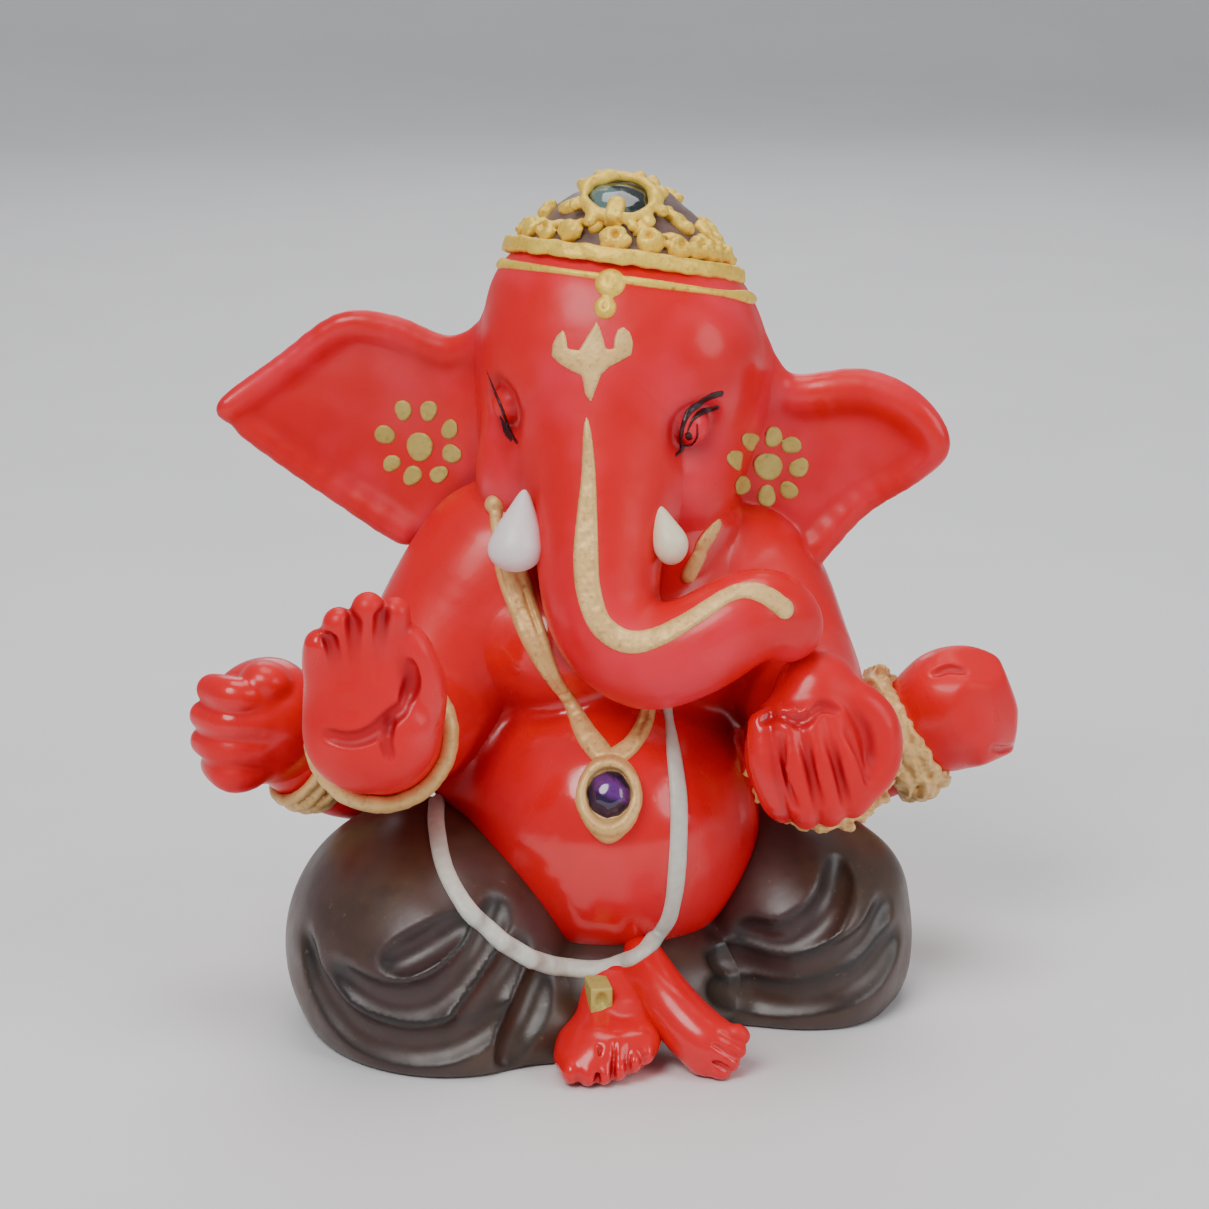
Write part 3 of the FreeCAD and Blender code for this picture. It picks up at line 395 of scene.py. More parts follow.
# ---- meshes -----------------------------------------------------------------------------------
def mesh_piece(name, points, quads, hollow, look):
    """A mesh object from millimetre points and quads, riding on the figure."""
    material, slot = look
    mesh = bpy.data.meshes.new(name)
    mesh.vertices.add(len(points))
    mesh.vertices.foreach_set("co", (points * MM).astype(np.float32).ravel())
    mesh.loops.add(quads.size)
    mesh.loops.foreach_set("vertex_index", quads.astype(np.int32).ravel())
    mesh.polygons.add(len(quads))
    mesh.polygons.foreach_set("loop_start", np.arange(0, quads.size, 4, dtype=np.int32))
    mesh.polygons.foreach_set("use_smooth", np.full(len(quads), True))
    mesh.update(calc_edges=True)
    mesh.validate()
    # the crease depth, read by the paints to paint shade into creases
    layer = mesh.attributes.new("hollow", "FLOAT", "POINT")
    layer.data.foreach_set("value", hollow.astype(np.float32))
    piece = bpy.data.objects.new(name, mesh)
    bpy.context.scene.collection.objects.link(piece)
    mesh.materials.append(material)
    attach(piece, "root")
    return piece


CREASE_REACH = 1.6  # how far off the skin the clay is felt for, to tell a crease from open ground


def skin(name, node, clay, look, values=None):
    """Skins a clay where its distance is nothing, and makes the piece that stands for a node."""
    values = (clay.values if values is None else values).copy()
    for i in range(3):  # nothing reaches the block's edge, so that the skin is closed
        edge = [slice(None)] * 3
        for end in (0, -1):
            edge[i] = end
            values[tuple(edge)] = np.maximum(values[tuple(edge)], 0.5)
    grid = openvdb.FloatGrid()
    grid.background = FAR_OFF
    grid.copyFromArray(np.ascontiguousarray(values, dtype=np.float32))
    grid.transform = openvdb.createLinearTransform(voxelSize=1.0)
    points, quads = grid.convertToQuads(isovalue=0.0)
    points = clay.low + np.asarray(points, float) * clay.step
    quads = np.asarray(quads)
    ways = clay.slope(points, max(0.4, clay.step))
    # turn the faces outwards, whichever way they were made
    a, b, c = points[quads[:, 0]], points[quads[:, 1]], points[quads[:, 2]]
    facing = np.einsum("ij,ij->i", np.cross(b - a, c - a), ways[quads[:, 0]])
    if np.median(facing) < 0:
        quads = quads[:, ::-1]
    # how deep each point lies in a crease, kept on the mesh for painting shade into creases
    hollow = clamp01(1.0 - clay.sample(points + ways * CREASE_REACH) / CREASE_REACH)
    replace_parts(mesh_piece(name, points, quads, hollow, look), node)


# ---- materials --------------------------------------------------------------------------------
class Paint:
    """A small helper that builds one node material, with positions in millimetres."""

    def __init__(self, name):
        self.material = bpy.data.materials.new(name)
        self.material.use_nodes = True
        self.tree = self.material.node_tree
        self.surface = self.tree.nodes["Principled BSDF"]
        coordinates = self.add("ShaderNodeTexCoord")
        inputs = {0: coordinates.outputs["Object"], "Scale": 1000.0}
        scale = self.add("ShaderNodeVectorMath", inputs, operation="SCALE")
        self.where = scale.outputs["Vector"]

    def add(self, kind, inputs=None, **settings):
        """A node with these settings, and these values or links at its inputs."""
        node = self.tree.nodes.new(kind)
        for key, value in settings.items():
            setattr(node, key, value)
        for key, value in (inputs or {}).items():
            self.feed(node.inputs[key], value)
        return node

    def feed(self, socket, value):
        if isinstance(value, bpy.types.NodeSocket):
            self.tree.links.new(value, socket)
        elif hasattr(value, "__len__") and len(value) == 3 and len(socket.default_value) == 4:
            socket.default_value = (*value, 1.0)
        else:
            socket.default_value = value

    def noise(self, size, detail=3.0, rough=0.55, seed=0.0):
        """Noise whose lumps are about size millimetres."""
        inputs = {"Vector": self.where, "Scale": 1.0 / size, "Detail": detail, "Roughness": rough, "W": seed}
        return self.add("ShaderNodeTexNoise", inputs, noise_dimensions="4D").outputs["Fac"]

    def cells(self, size, seed=0.0):
        """Distance from the middles of scattered cells of about size millimetres."""
        inputs = {"Vector": self.where, "Scale": 1.0 / size, "W": seed}
        return self.add("ShaderNodeTexVoronoi", inputs, voronoi_dimensions="4D").outputs["Distance"]

    def span(self, value, low, high, to_low=0.0, to_high=1.0):
        """A value between low and high, taken to a value between to_low and to_high."""
        inputs = {"Value": value, "From Min": low, "From Max": high, "To Min": to_low, "To Max": to_high}
        return self.add("ShaderNodeMapRange", inputs, clamp=True).outputs["Result"]

    def mix(self, share, a, b):
        # the colour sockets of this node share their names with others, so they go by number
        return self.add("ShaderNodeMix", {0: share, 6: a, 7: b}, data_type="RGBA").outputs[2]

    def sum(self, a, b, operation="ADD"):
        return self.add("ShaderNodeMath", {0: a, 1: b}, operation=operation).outputs[0]

    def hollow(self):
        """How far a spot lies in a crease, from the clay itself; it sets where shade is painted."""
        return self.add("ShaderNodeAttribute", attribute_name="hollow").outputs["Fac"]

    def bump(self, height, distance, strength=1.0, under=None):
        """A normal bumped by height, distance being in millimetres, over another if given."""
        inputs = {"Strength": strength, "Distance": distance * MM, "Height": height}
        if under is not None:
            inputs["Normal"] = under
        return self.add("ShaderNodeBump", inputs).outputs["Normal"]

    def finish(self, **inputs):
        for name, value in inputs.items():
            self.feed(self.surface.inputs[name.replace("_", " ")], value)
        return self.material


def red_paint(name, pink=0.25, gloss=0.4, pits=0.5):
    """Brushed red acrylic: pinker in scattered patches, darker crimson in creases as painted shade, varnished
    in patches.
    """
    p = Paint(name)
    broad, fine = p.noise(14.0, 2.0), p.noise(3.0, 4.0, seed=3.0)
    base = p.mix(p.span(broad, 0.38, 0.62), (0.74, 0.0, 0.006), (0.80, 0.004, 0.008))
    # pinker in scattered patches of noise, more so the higher pink is
    pink_patches = p.sum(p.span(p.noise(9.0, 2.0, seed=8.0), 0.45, 0.65), pink, "MULTIPLY")
    base = p.mix(pink_patches, base, (0.86, 0.02, 0.05))
    base = p.mix(p.span(fine, 0.30, 0.75, 0.0, 0.22), base, (0.60, 0.0, 0.012))
    # painted shade: darker crimson where the clay lies in a crease
    base = p.mix(p.span(p.hollow(), 0.10, 0.75, 0.0, 0.9), base, (0.30, 0.0, 0.008))
    varnish = p.span(p.noise(11.0, 2.0, seed=21.0), 0.44, 0.58)
    rough = p.sum(0.46, p.sum(varnish, 0.22 * gloss / 0.4, "MULTIPLY"), "SUBTRACT")
    rough = p.sum(rough, p.span(fine, 0.3, 0.7, -0.04, 0.07))
    pit = p.span(p.cells(1.7, 2.0), 0.05, 0.42)
    pitted = p.span(p.noise(6.0, 1.0, seed=5.0), 0.50, 0.66, 0.0, pits)
    pit = p.sum(pitted, p.sum(1.0, pit, "SUBTRACT"), "MULTIPLY")
    coat = p.bump(p.noise(1.1, 5.0, 0.6, seed=1.0), 0.05, 0.35)
    coat = p.bump(pit, 0.16, 0.55, under=coat)
    coat = p.bump(p.noise(5.0, 2.0, seed=12.0), 0.35, 0.35, under=coat)
    return p.finish(
        Base_Color=base, Roughness=rough, Normal=coat, Coat_Weight=p.sum(varnish, gloss, "MULTIPLY"),
        Coat_Roughness=0.16, Specular_IOR_Level=0.32,
    )


def gold_paint(name, light=(0.66, 0.43, 0.17), deep=(0.26, 0.13, 0.04), metal=0.35, lumpy=0.5):
    """Thick gold paint: uneven, brown where it is thin or lies in a hollow, with a soft metallic sheen."""
    p = Paint(name)
    speck = p.noise(0.55, 5.0, 0.65, seed=2.0)
    broad = p.noise(3.2, 2.0, seed=6.0)
    worn = tuple(min(1.0, c * k) for c, k in zip(light, (1.12, 1.18, 1.3)))
    base = p.mix(p.span(broad, 0.4, 0.65), light, worn)
    base = p.mix(p.span(speck, 0.52, 0.72, 0.0, 0.55), base, deep)
    base = p.mix(p.span(p.cells(1.5, 4.0), 0.06, 0.22, 0.7, 0.0), base, deep)
    normal = p.bump(speck, 0.12, lumpy)
    normal = p.bump(p.noise(1.6, 2.0, seed=9.0), 0.22, lumpy, under=normal)
    return p.finish(
        Base_Color=base, Metallic=metal, Roughness=p.span(speck, 0.3, 0.7, 0.38, 0.58), Normal=normal,
        Specular_IOR_Level=0.4,
    )


def dark_paint(name):
    """Satin dark brown: olive and plum casts, scattered lighter brown specks, and painted shade near black in
    the creases.
    """
    p = Paint(name)
    cast = p.noise(13.0, 2.0, seed=4.0)
    base = p.mix(p.span(cast, 0.4, 0.6), (0.070, 0.036, 0.020), (0.058, 0.026, 0.024))
    base = p.mix(p.span(p.noise(2.2, 4.0, seed=7.0), 0.45, 0.7, 0.0, 0.5), base, (0.030, 0.015, 0.011))
    # painted shade: near black where the cloth lies in a crease
    base = p.mix(p.span(p.hollow(), 0.04, 0.5, 0.0, 0.95), base, (0.006, 0.004, 0.003))
    base = p.mix(p.span(p.noise(0.8, 3.0, seed=15.0), 0.66, 0.74, 0.0, 0.5), base, (0.16, 0.12, 0.07))
    normal = p.bump(p.noise(1.4, 4.0, seed=1.5), 0.07, 0.4)
    normal = p.bump(p.noise(6.0, 2.0, seed=11.0), 0.3, 0.3, under=normal)
    return p.finish(
        Base_Color=base, Roughness=p.span(p.noise(4.0, 3.0, seed=19.0), 0.35, 0.7, 0.34, 0.50), Normal=normal,
        Specular_IOR_Level=0.6, Coat_Weight=0.12, Coat_Roughness=0.3,
    )


def plain_paint(name, light, shade, rough=0.45, grain=1.2, specks=0.4):
    """A brushed paint in two close tones, darker in creases as painted shade."""
    p = Paint(name)
    fine = p.noise(grain, 4.0, 0.6, seed=3.0)
    base = p.mix(p.span(fine, 0.35, 0.7, 0.0, specks), light, shade)
    # painted shade: darker where the surface lies in a crease
    base = p.mix(p.span(p.hollow(), 0.2, 0.9, 0.0, 0.4), base, tuple(c * 0.45 for c in shade))
    normal = p.bump(fine, 0.06, 0.45)
    normal = p.bump(p.noise(grain * 3.0, 2.0, seed=9.0), 0.15, 0.3, under=normal)
    return p.finish(
        Base_Color=base, Roughness=p.span(fine, 0.3, 0.7, rough - 0.06, rough + 0.08), Normal=normal,
    )


def stone(name, light, dark, streak=1.4, rough=0.08):
    """A glossy stone, streaked along one way."""
    p = Paint(name)
    inputs = {"Vector": p.where, "Scale": 1.0 / (streak * 6.0), "Distortion": 9.0, "Detail": 3.0,
              "Detail Scale": 1.6}
    band = p.add("ShaderNodeTexWave", inputs, wave_type="BANDS", bands_direction="DIAGONAL")
    base = p.mix(p.span(band.outputs["Fac"], 0.25, 0.7), dark, light)
    base = p.mix(p.span(p.noise(0.7, 3.0), 0.55, 0.75, 0.0, 0.7), base, tuple(c * 0.25 for c in dark))
    normal = p.bump(p.noise(0.5, 3.0, seed=2.0), 0.03, 0.25)
    return p.finish(
        Base_Color=base, Normal=normal,
        Roughness=p.span(p.noise(0.9, 2.0, seed=4.0), 0.3, 0.7, rough, rough + 0.12),
        Coat_Weight=0.8, Coat_Roughness=0.04, Specular_IOR_Level=0.6,
    )


# a look is a material and a slot name
RED_BODY = red_paint("red_body", pink=0.25, gloss=0.8, pits=0.9), "red_paint"
RED_HEAD = red_paint("red_head", pink=0.9, gloss=0.25, pits=0.25), "red_paint"
RED_LIMB = red_paint("red_limb", pink=0.3, gloss=0.3, pits=0.3), "red_paint"
RED_HAND = red_paint("red_hand", pink=0.15, gloss=0.45, pits=0.3), "red_paint"
DARK = dark_paint("dark_brown"), "dark_paint"
GOLD = gold_paint("ochre_gold", light=(0.76, 0.47, 0.17), metal=0.3, lumpy=0.35), "gold_paint"
BRIGHT = gold_paint("bright_gold", light=(0.92, 0.60, 0.08), deep=(0.36,
                    0.16, 0.02), metal=0.4, lumpy=0.6), "bright_gold_paint"
TUSK = plain_paint("tusk_white", (0.88, 0.80, 0.80), (0.78, 0.66, 0.66),
                   rough=0.35, grain=2.4, specks=0.3), "tusk_paint"
THREAD = plain_paint("thread_white", (0.66, 0.66, 0.58), (0.46, 0.45, 0.38),
                     rough=0.42, grain=0.9, specks=0.5), "thread_paint"
CAP = plain_paint("cap_brown", (0.20, 0.125, 0.115), (0.10, 0.055, 0.05),
                  rough=0.36, grain=1.6, specks=0.7), "cap_paint"
STONE = stone("crown_stone", (0.10, 0.17, 0.16), (0.012, 0.018, 0.018)), "crown_stone"
OLIVE = gold_paint("olive_gold", light=(0.52, 0.42, 0.10), deep=(0.28,
                   0.20, 0.05), metal=0.15, lumpy=0.3), "gold_paint"
CREAM = plain_paint("tusk_cream", (0.86, 0.80, 0.58), (0.74, 0.66, 0.42),
                    rough=0.35, grain=2.0, specks=0.3), "tusk_paint"
GEM = stone("purple_stone", (0.13, 0.02, 0.22), (0.02, 0.002, 0.05), streak=2.4, rough=0.03), "purple_stone"
LINE = plain_paint("eye_line", (0.035, 0.002, 0.004), (0.01, 0.001, 0.002),
                   rough=0.35, grain=0.5), "eye_paint"

# ---- the red clay: body, arms, head, trunk and ears --------------------------------------------
STEP = 0.4
ROOM = 3  # empty clay left round the figure
body_low = np.array(CAD_LOW) * 1000 - ROOM
body_high = np.array(CAD_HIGH) * 1000 + ROOM
block = Clay(body_low, body_high, STEP)
own = {}


def piece_of(name, room=block):
    """Starts a node's own clay in the figure's block, or in another."""
    own[name] = room.like()
    return own[name]


torso = piece_of("torso")
torso.eggs(WORLD, [
    ((-2.7, -1.0, 19.6), (16.0, 17.2, 15.8), 0.0),
    ((-0.8, 3.6, 38.6), (17.6, 12.6, 14.4), 2.4),
    ((-8.6, -3.2, 39.4), (8.2, 7.0, 6.4), 2.0),
    ((6.4, -2.8, 38.4), (8.4, 6.8, 6.2), 2.0),
    ((-1.4, 7.0, 26.0), (14.6, 13.0, 20.0), 3.0),
    ((-2.4, -9.0, 21.0), (9.0, 8.0, 8.6), 4.0),
])
torso.cut(rod((-14.6, -9.2, 36.4), (-7.4, -13.2, 33.2), 0.8, 0.5), blend=1.8, margin=4.0)
torso.cut(rod((-7.4, -13.2, 33.2), (8.0, -12.4, 32.2), 0.5, 0.5), blend=1.6, margin=4.0)
torso.eggs(WORLD, [
    ((-15.0, 2.5, 25.5), (6.2, 7.6, 6.6), 3.0),
    ((0.0, 1.5, 51.0), (11.5, 9.5, 8.0), 3.0),
])

ARMS = {  # from the shoulder to the wrist: x, y, z and radius
    "right_front_arm": [
        (-12.5, 4.0, 45.0, 9.6), (-18.2, 2.0, 38.4, 8.2), (-22.0, -1.2, 32.8, 7.2), (-24.6, -5.8, 31.8, 6.5),
        (-26.8, -10.6, 32.6, 5.9), (-27.6, -13.6, 33.2, 5.3),
    ],
    "left_front_arm": [
        (11.3, 4.0, 43.0, 9.3), (14.0, 2.4, 39.2, 8.1), (16.2, -1.4, 35.0, 6.9), (16.8, -6.0, 33.8, 6.0),
        (16.4, -10.6, 33.2, 5.5), (16.2, -13.2, 33.0, 5.1),
    ],
    "right_rear_arm": [
        (-10.5, 9.0, 39.0, 7.2), (-18.0, 11.4, 30.6, 6.4), (-23.8, 11.0, 23.6, 5.7), (-28.0, 9.7, 22.8, 5.2),
        (-32.0, 8.1, 24.6, 4.8), (-34.6, 7.2, 26.4, 4.5),
    ],
    "left_rear_arm": [
        (10.5, 9.0, 37.0, 7.2), (17.8, 11.6, 28.6, 6.4), (22.4, 11.2, 21.6, 5.8), (26.0, 10.2, 21.0, 5.4),
        (29.6, 8.9, 22.2, 5.1), (32.6, 8.0, 23.6, 4.8),
    ],
}
for name, rows in ARMS.items():
    piece_of(name).put(limb(rows, blend=1.0))

head = piece_of("head")
head.eggs(HEAD, [
    ((-0.3, 0.4, 4.0), (15.0, 13.9, 13.6), 0.0),
    ((-0.4, -0.6, -3.5), (13.0, 11.8, 11.6), 4.0),
    ((-5.0, -6.0, 6.6), (8.4, 7.8, 8.0), 4.0),
    ((4.6, -6.0, 7.0), (8.2, 7.8, 7.8), 4.0),
])
head.put(egg((0.0, 0.0, -4.0), (12.9, 12.7, 8.5), CROWN_SEAT), blend=2.5)
head.eggs(HEAD, [
    ((-8.2, -5.2, -7.6), (5.4, 6.4, 6.4), 2.6),
    ((7.6, -5.4, -6.2), (5.2, 6.4, 6.0), 2.6),
])

trunk = piece_of("trunk")
trunk.put(limb([
    (-0.8, -5.4, 5.0, 8.6), (-0.5, -8.8, -1.0, 7.9), (0.5, -12.4, -7.6, 6.6), (1.2, -15.6, -13.2, 5.7),
    (2.9, -18.2, -18.2, 5.1), (7.4, -20.0, -20.8, 4.7), (12.4, -20.2, -18.6, 4.45),
    (16.4, -19.0, -15.6, 4.1), (19.0, -17.6, -15.2, 3.7), (20.8, -16.4, -16.6, 3.2),
], HEAD, blend=1.2))


def ear(name, outline, cup, root, rims):
    """A cupped leaf with a rounded edge, thicker at its root, with its top edge rolled forwards."""
    line = closed_curve(outline, 72)
    cx, cz = cup

    def far(x, y, z):
        edge = outline_far(x, z, line)
        bowl = 3.0 - ((x - cx) ** 2 + 0.8 * (z - cz) ** 2) / 58.0
        bowl = np.maximum(bowl, -7.0)
        thick = 0.85 + 0.45 * clamp01(-edge / 6.0)
        over = np.maximum(edge + thick, 0.0)
        return (np.sqrt(over ** 2 + (y - bowl) ** 2) - thick) * 0.85

    low = (line[:, 0].min() - 1, -14, line[:, 1].min() - 1)
    high = (line[:, 0].max() + 1, 9, line[:, 1].max() + 1)
    clay = piece_of(name)
    clay.put(Form(far, low, high, HEAD))
    for rim in rims:
        points = [(x, 3.0 - ((x - cx) ** 2 + 0.8 * (z - cz) ** 2) / 58.0 - 0.3, z, r)
                  for x, z, r in rim]
        clay.put(limb(points, HEAD, blend=0.5), blend=1.6)
    clay.put(egg((root[0], 2.0, root[1]), (3.6, 2.6, 7.6), HEAD), blend=2.0)


RIGHT_EAR = [
    (-12.0, 6.2), (-19.0, 3.6), (-25.0, 5.0), (-30.6, 4.6), (-36.2, -0.6), (-42.0, -5.8), (-39.6, -8.6),
    (-31.4, -13.8), (-21.0, -18.4), (-15.6, -13.8), (-10.0, -12.0),
]
LEFT_EAR = [
    (12.0, 7.2), (16.6, 4.2), (24.0, 5.8), (29.8, 4.4), (33.4, 0.2), (30.8, -3.8), (25.8, -8.4),
    (20.4, -15.6), (14.0, -12.4), (9.0, -11.0),
]
ear("right_ear", RIGHT_EAR, (-25.5, -6.0), (-14.0, -3.0), [
    [
        (-14.0, 4.6, 1.4), (-19.0, 2.7, 1.15), (-25.0, 4.0, 1.05), (-30.4, 3.5, 1.0), (-36.0, -1.5, 0.95),
        (-40.6, -6.0, 0.85),
    ],
    [(-38.8, -8.2, 0.85), (-31.2, -12.8, 0.95), (-21.6, -17.0, 1.0)],
])
ear("left_ear", LEFT_EAR, (22.5, -4.0), (12.6, -2.5), [
    [
        (13.0, 5.4, 1.6), (17.0, 3.2, 1.7), (24.0, 4.6, 1.8), (29.2, 3.3, 1.6), (32.2, 0.2, 1.2),
        (30.4, -3.2, 0.95), (25.4, -7.8, 0.9), (20.4, -14.4, 1.0),
    ],
])

# run the pieces together: the face softly, the rest with a crease between
face = own["head"].values
for name, blend in (("trunk", 3.2), ("right_ear", 2.2), ("left_ear", 2.2)):
    face = soft_min(face, own[name].values, blend)
lower = own["torso"].values
for name in ("right_rear_arm", "left_rear_arm", "right_front_arm", "left_front_arm"):
    lower = soft_min(lower, own[name].values, 2.0)
red = block.like()
red.values = soft_min(face, lower, 0.9)

# eyes sit in shallow sockets
for x, z in ((-11.0, 0.2), (8.8, 1.0)):
    at = red.drop(HEAD.out((x, -30, z)), HEAD.rotation @ np.array((0, 1.0, 0)))
    out = red.slope(at[None])[0]
    red.cut(egg(at + out * 1.9 - FOOT, (3.4, 3.4, 3.4)), blend=1.6, margin=4.0)
    red.put(egg(at - out * 1.1 - FOOT, (2.0, 2.0, 2.0)), blend=0.7, margin=3.0)


TUCK_DEPTH, TUCK_WIDTH = 0.07, 0.35  # how a piece goes on under its neighbour


def share_out(field, names):
    """Each piece's part of a shared field: its own ground plus a hidden tuck under its neighbours."""
    parts = {}
    for name in names:
        rest = np.minimum.reduce([own[other].values for other in names if other != name])
        border = (own[name].values - rest) * 0.5
        tuck = TUCK_DEPTH * clamp01((border + TUCK_WIDTH) / TUCK_WIDTH)
        parts[name] = np.maximum(field + tuck, border - TUCK_WIDTH)
    return parts


RED_LOOKS = {"torso": RED_BODY}
RED_LOOKS.update({name: RED_LIMB for name in ARMS})
RED_LOOKS.update({name: RED_HEAD for name in ("head", "trunk", "right_ear", "left_ear")})
for name, values in share_out(red.values, RED_LOOKS).items():
    skin(f"{name}_clay", name, red, RED_LOOKS[name], values)


# ---- legs and seat ----------------------------------------------------------------------------
cloth = Clay(body_low, np.array([body_high[0], body_high[1], 30.0]), STEP)
leg = piece_of("right_leg", cloth)
leg.eggs(WORLD, [
    ((-21.7, -4.0, 7.6), (14.9, 19.4, 14.6), 0.0),
    ((-20.4, -8.0, 3.4), (13.4, 15.6, 9.0), 2.0),
])
leg.put(rod((-12.6, -14.0, 4.0), (-11.4, -16.4, 2.0), 4.6), blend=2.0)
leg = piece_of("left_leg", cloth)
leg.eggs(WORLD, [
    ((16.8, -1.2, 6.8), (12.4, 17.2, 13.2), 0.0),
    ((17.8, -1.6, 5.0), (11.2, 15.4, 10.6), 2.0),
])
leg.put(rod((22.0, -6.0, 4.0), (22.2, -5.0, 11.0), 6.0, 6.2), blend=2.0)
leg.put(rod((19.0, -11.0, 2.6), (10.0, -10.0, 2.6), 5.4, 4.6), blend=2.0)
seat = piece_of("seat", cloth)
seat.eggs(WORLD, [
    ((-1.5, 8.5, 9.4), (23.6, 20.0, 12.8), 0.0),
    ((-2.4, -8.0, 4.6), (14.6, 11.2, 7.0), 2.0),
])
whole = soft_min(soft_min(own["right_leg"].values, own["left_leg"].values, 1.5), own["seat"].values, 1.5)
folds = cloth.like()
folds.values = whole

# folds: each runs over the front of a leg as x, z and half width, pressed in to a depth
RIGHT_FOLDS = [
    [
        (-35.2, 11.4, 0.4), (-34.4, 7.6, 0.9), (-31.8, 4.4, 1.3), (-27.4, 3.6, 1.4), (-23.0, 4.1, 1.3),
        (-19.2, 5.6, 0.9), (-16.8, 7.0, 0.5),
    ],
    [
        (-32.9, 9.8, 0.5), (-29.2, 8.0, 1.2), (-25.2, 8.2, 1.4), (-21.4, 10.4, 1.2), (-18.4, 13.6, 0.9),
        (-16.6, 16.4, 0.5),
    ],
    [(-27.6, 12.0, 0.4), (-25.4, 13.2, 0.8), (-23.0, 14.4, 0.7), (-20.6, 15.6, 0.4)],
    [(-14.6, 12.2, 0.8), (-16.8, 9.8, 0.9), (-18.8, 7.8, 0.8), (-20.6, 6.2, 0.4)],
    [(-12.0, 9.6, 0.7), (-13.6, 6.8, 0.9), (-15.4, 3.8, 0.8), (-16.2, 1.6, 0.5)],
]
LEFT_FOLDS = [
    [(19.8, 16.6, 0.4), (18.8, 14.4, 0.8), (16.0, 11.6, 1.2), (12.4, 9.8, 1.2), (9.4, 10.2, 0.8)],
    [
        (24.4, 12.0, 0.4), (22.2, 9.4, 1.0), (18.0, 7.8, 1.2), (13.2, 6.8, 1.2), (9.6, 7.0, 1.0),
        (6.4, 8.0, 0.5),
    ],
    [
        (25.6, 8.6, 0.5), (22.6, 6.0, 1.0), (17.0, 4.4, 1.2), (12.0, 3.6, 1.0), (8.8, 4.2, 0.8),
        (6.0, 5.6, 0.5),
    ],
]
base = folds.like()
base.values = folds.values.copy()
for path in RIGHT_FOLDS + LEFT_FOLDS:
    line = curve(path, 4 * len(path))
    starts = [(x + FOOT[0], -60.0, z + FOOT[2]) for x, z, _ in line]
    spots = np.array([base.drop(start, (0, 1, 0), reach=80.0) for start in starts])
    ways = base.slope(spots, 1.0)
    wide = line[:, 2] * clamp01((-ways[:, 1] - 0.10) / 0.35)
    spots = spots - FOOT + ways * 0.15 * wide[:, None]
    for a, b, ra, rb in zip(spots, spots[1:], wide, wide[1:]):
        if min(ra, rb) > 0.15:
            folds.cut(rod(a, b, ra, rb), blend=1.8, margin=3.5)
# the underside is flat
folds.stand(CAD_LOW[2] * 1000 + 0.02, 0.5)
for name, values in share_out(folds.values, ["right_leg", "left_leg", "seat"]).items():
    skin(f"{name}_cloth", name, folds, DARK, values)


# ---- hands ------------------------------------------------------------------------------------
def about(node, nominal):
    """The frame in which a node's forms are drawn when its box's middle lies at nominal."""
    return Place(middle(node) - np.array(nominal))


FINE = 0.2


def blocks(low, high, place, step=None):
    return Clay(place.out(low), place.out(high), step or FINE)


def groove(clay, points, radius, place, blend=0.5):
    """A pressed line over the clay's front, through points given near it."""
    line = curve([(*p, 1.0) for p in points], 5 * len(points))[:, :3]
    share = np.linspace(0, 1, len(line))
    wide = radius * (0.35 + 0.65 * np.sin(math.pi * share) ** 0.6)
    starts = [place.out(p + (0, -5.0, 0)) for p in line]
    spots = [clay.drop(start, (0, 1, 0), reach=14.0) - (0, 0.4 * r, 0) for start, r in zip(starts, wide)]
    for p, q, rp, rq in zip(spots, spots[1:], wide, wide[1:]):
        clay.cut(rod(p, q, rp, rq, PLAIN), blend=blend, margin=2.0)


# the raised open palm
here = about("right_front_hand", (-28.93, -16.80, 39.53))
hand = blocks((-39, -25, 26), (-18.5, -8, 52), here)
hand.eggs(here, [
    ((-29.2, -18.4, 37.0), (6.3, 3.5, 7.4), 0.0),
    ((-28.8, -18.6, 34.4), (6.0, 3.6, 5.0), 2.0),
])
hand.put(rod((-27.8, -13.0, 33.6), (-28.6, -16.4, 34.6), 5.0, 5.0, here), blend=1.5)
hand.put(egg((-25.9, -20.0, 35.0), (3.4, 2.5, 4.2), here, turn("Y", 18)), blend=1.2)
hand.cut(egg((-30.6, -25.2, 38.4), (4.0, 3.4, 3.0), here), blend=1.6)
fingers = [
    [(-33.2, -18.4, 38.6, 1.9), (-33.7, -19.2, 42.4, 1.75), (-33.8, -19.9, 44.6, 1.55)],
    [(-31.6, -18.6, 39.6, 1.9), (-32.0, -19.6, 44.2, 1.75), (-32.0, -20.4, 46.8, 1.55)],
    [(-29.4, -18.6, 40.0, 1.95), (-29.4, -19.8, 45.4, 1.8), (-29.2, -20.7, 48.2, 1.6)],
    [(-27.2, -18.6, 40.0, 1.9), (-27.0, -19.6, 45.0, 1.75), (-26.6, -20.4, 47.6, 1.5)],
]
web = Clay.like(hand)
for rows in fingers:
    web.put(limb(rows, here, blend=0.3), blend=0.35)
hand.join(web, 0.9)
for a, b in (((-32.9, -20.9, 45.4), (-31.9, -21.2, 41.0)), ((-30.7, -21.4, 47.0), (-30.5, -21.3, 41.0)),
             ((-28.1, -21.4, 47.6), (-28.4, -21.4, 41.2))):
    hand.cut(rod(np.array(a) - (0, 0.35, 0), np.array(b) - (0, 0.35, 0), 0.55, 0.20, here), blend=0.9)
hand.put(limb([
    (-24.4, -18.6, 35.4, 2.4), (-23.6, -19.6, 39.6, 1.85), (-24.4, -20.0, 43.0, 1.55),
    (-25.2, -20.0, 45.0, 1.2),
], here), blend=0.7)
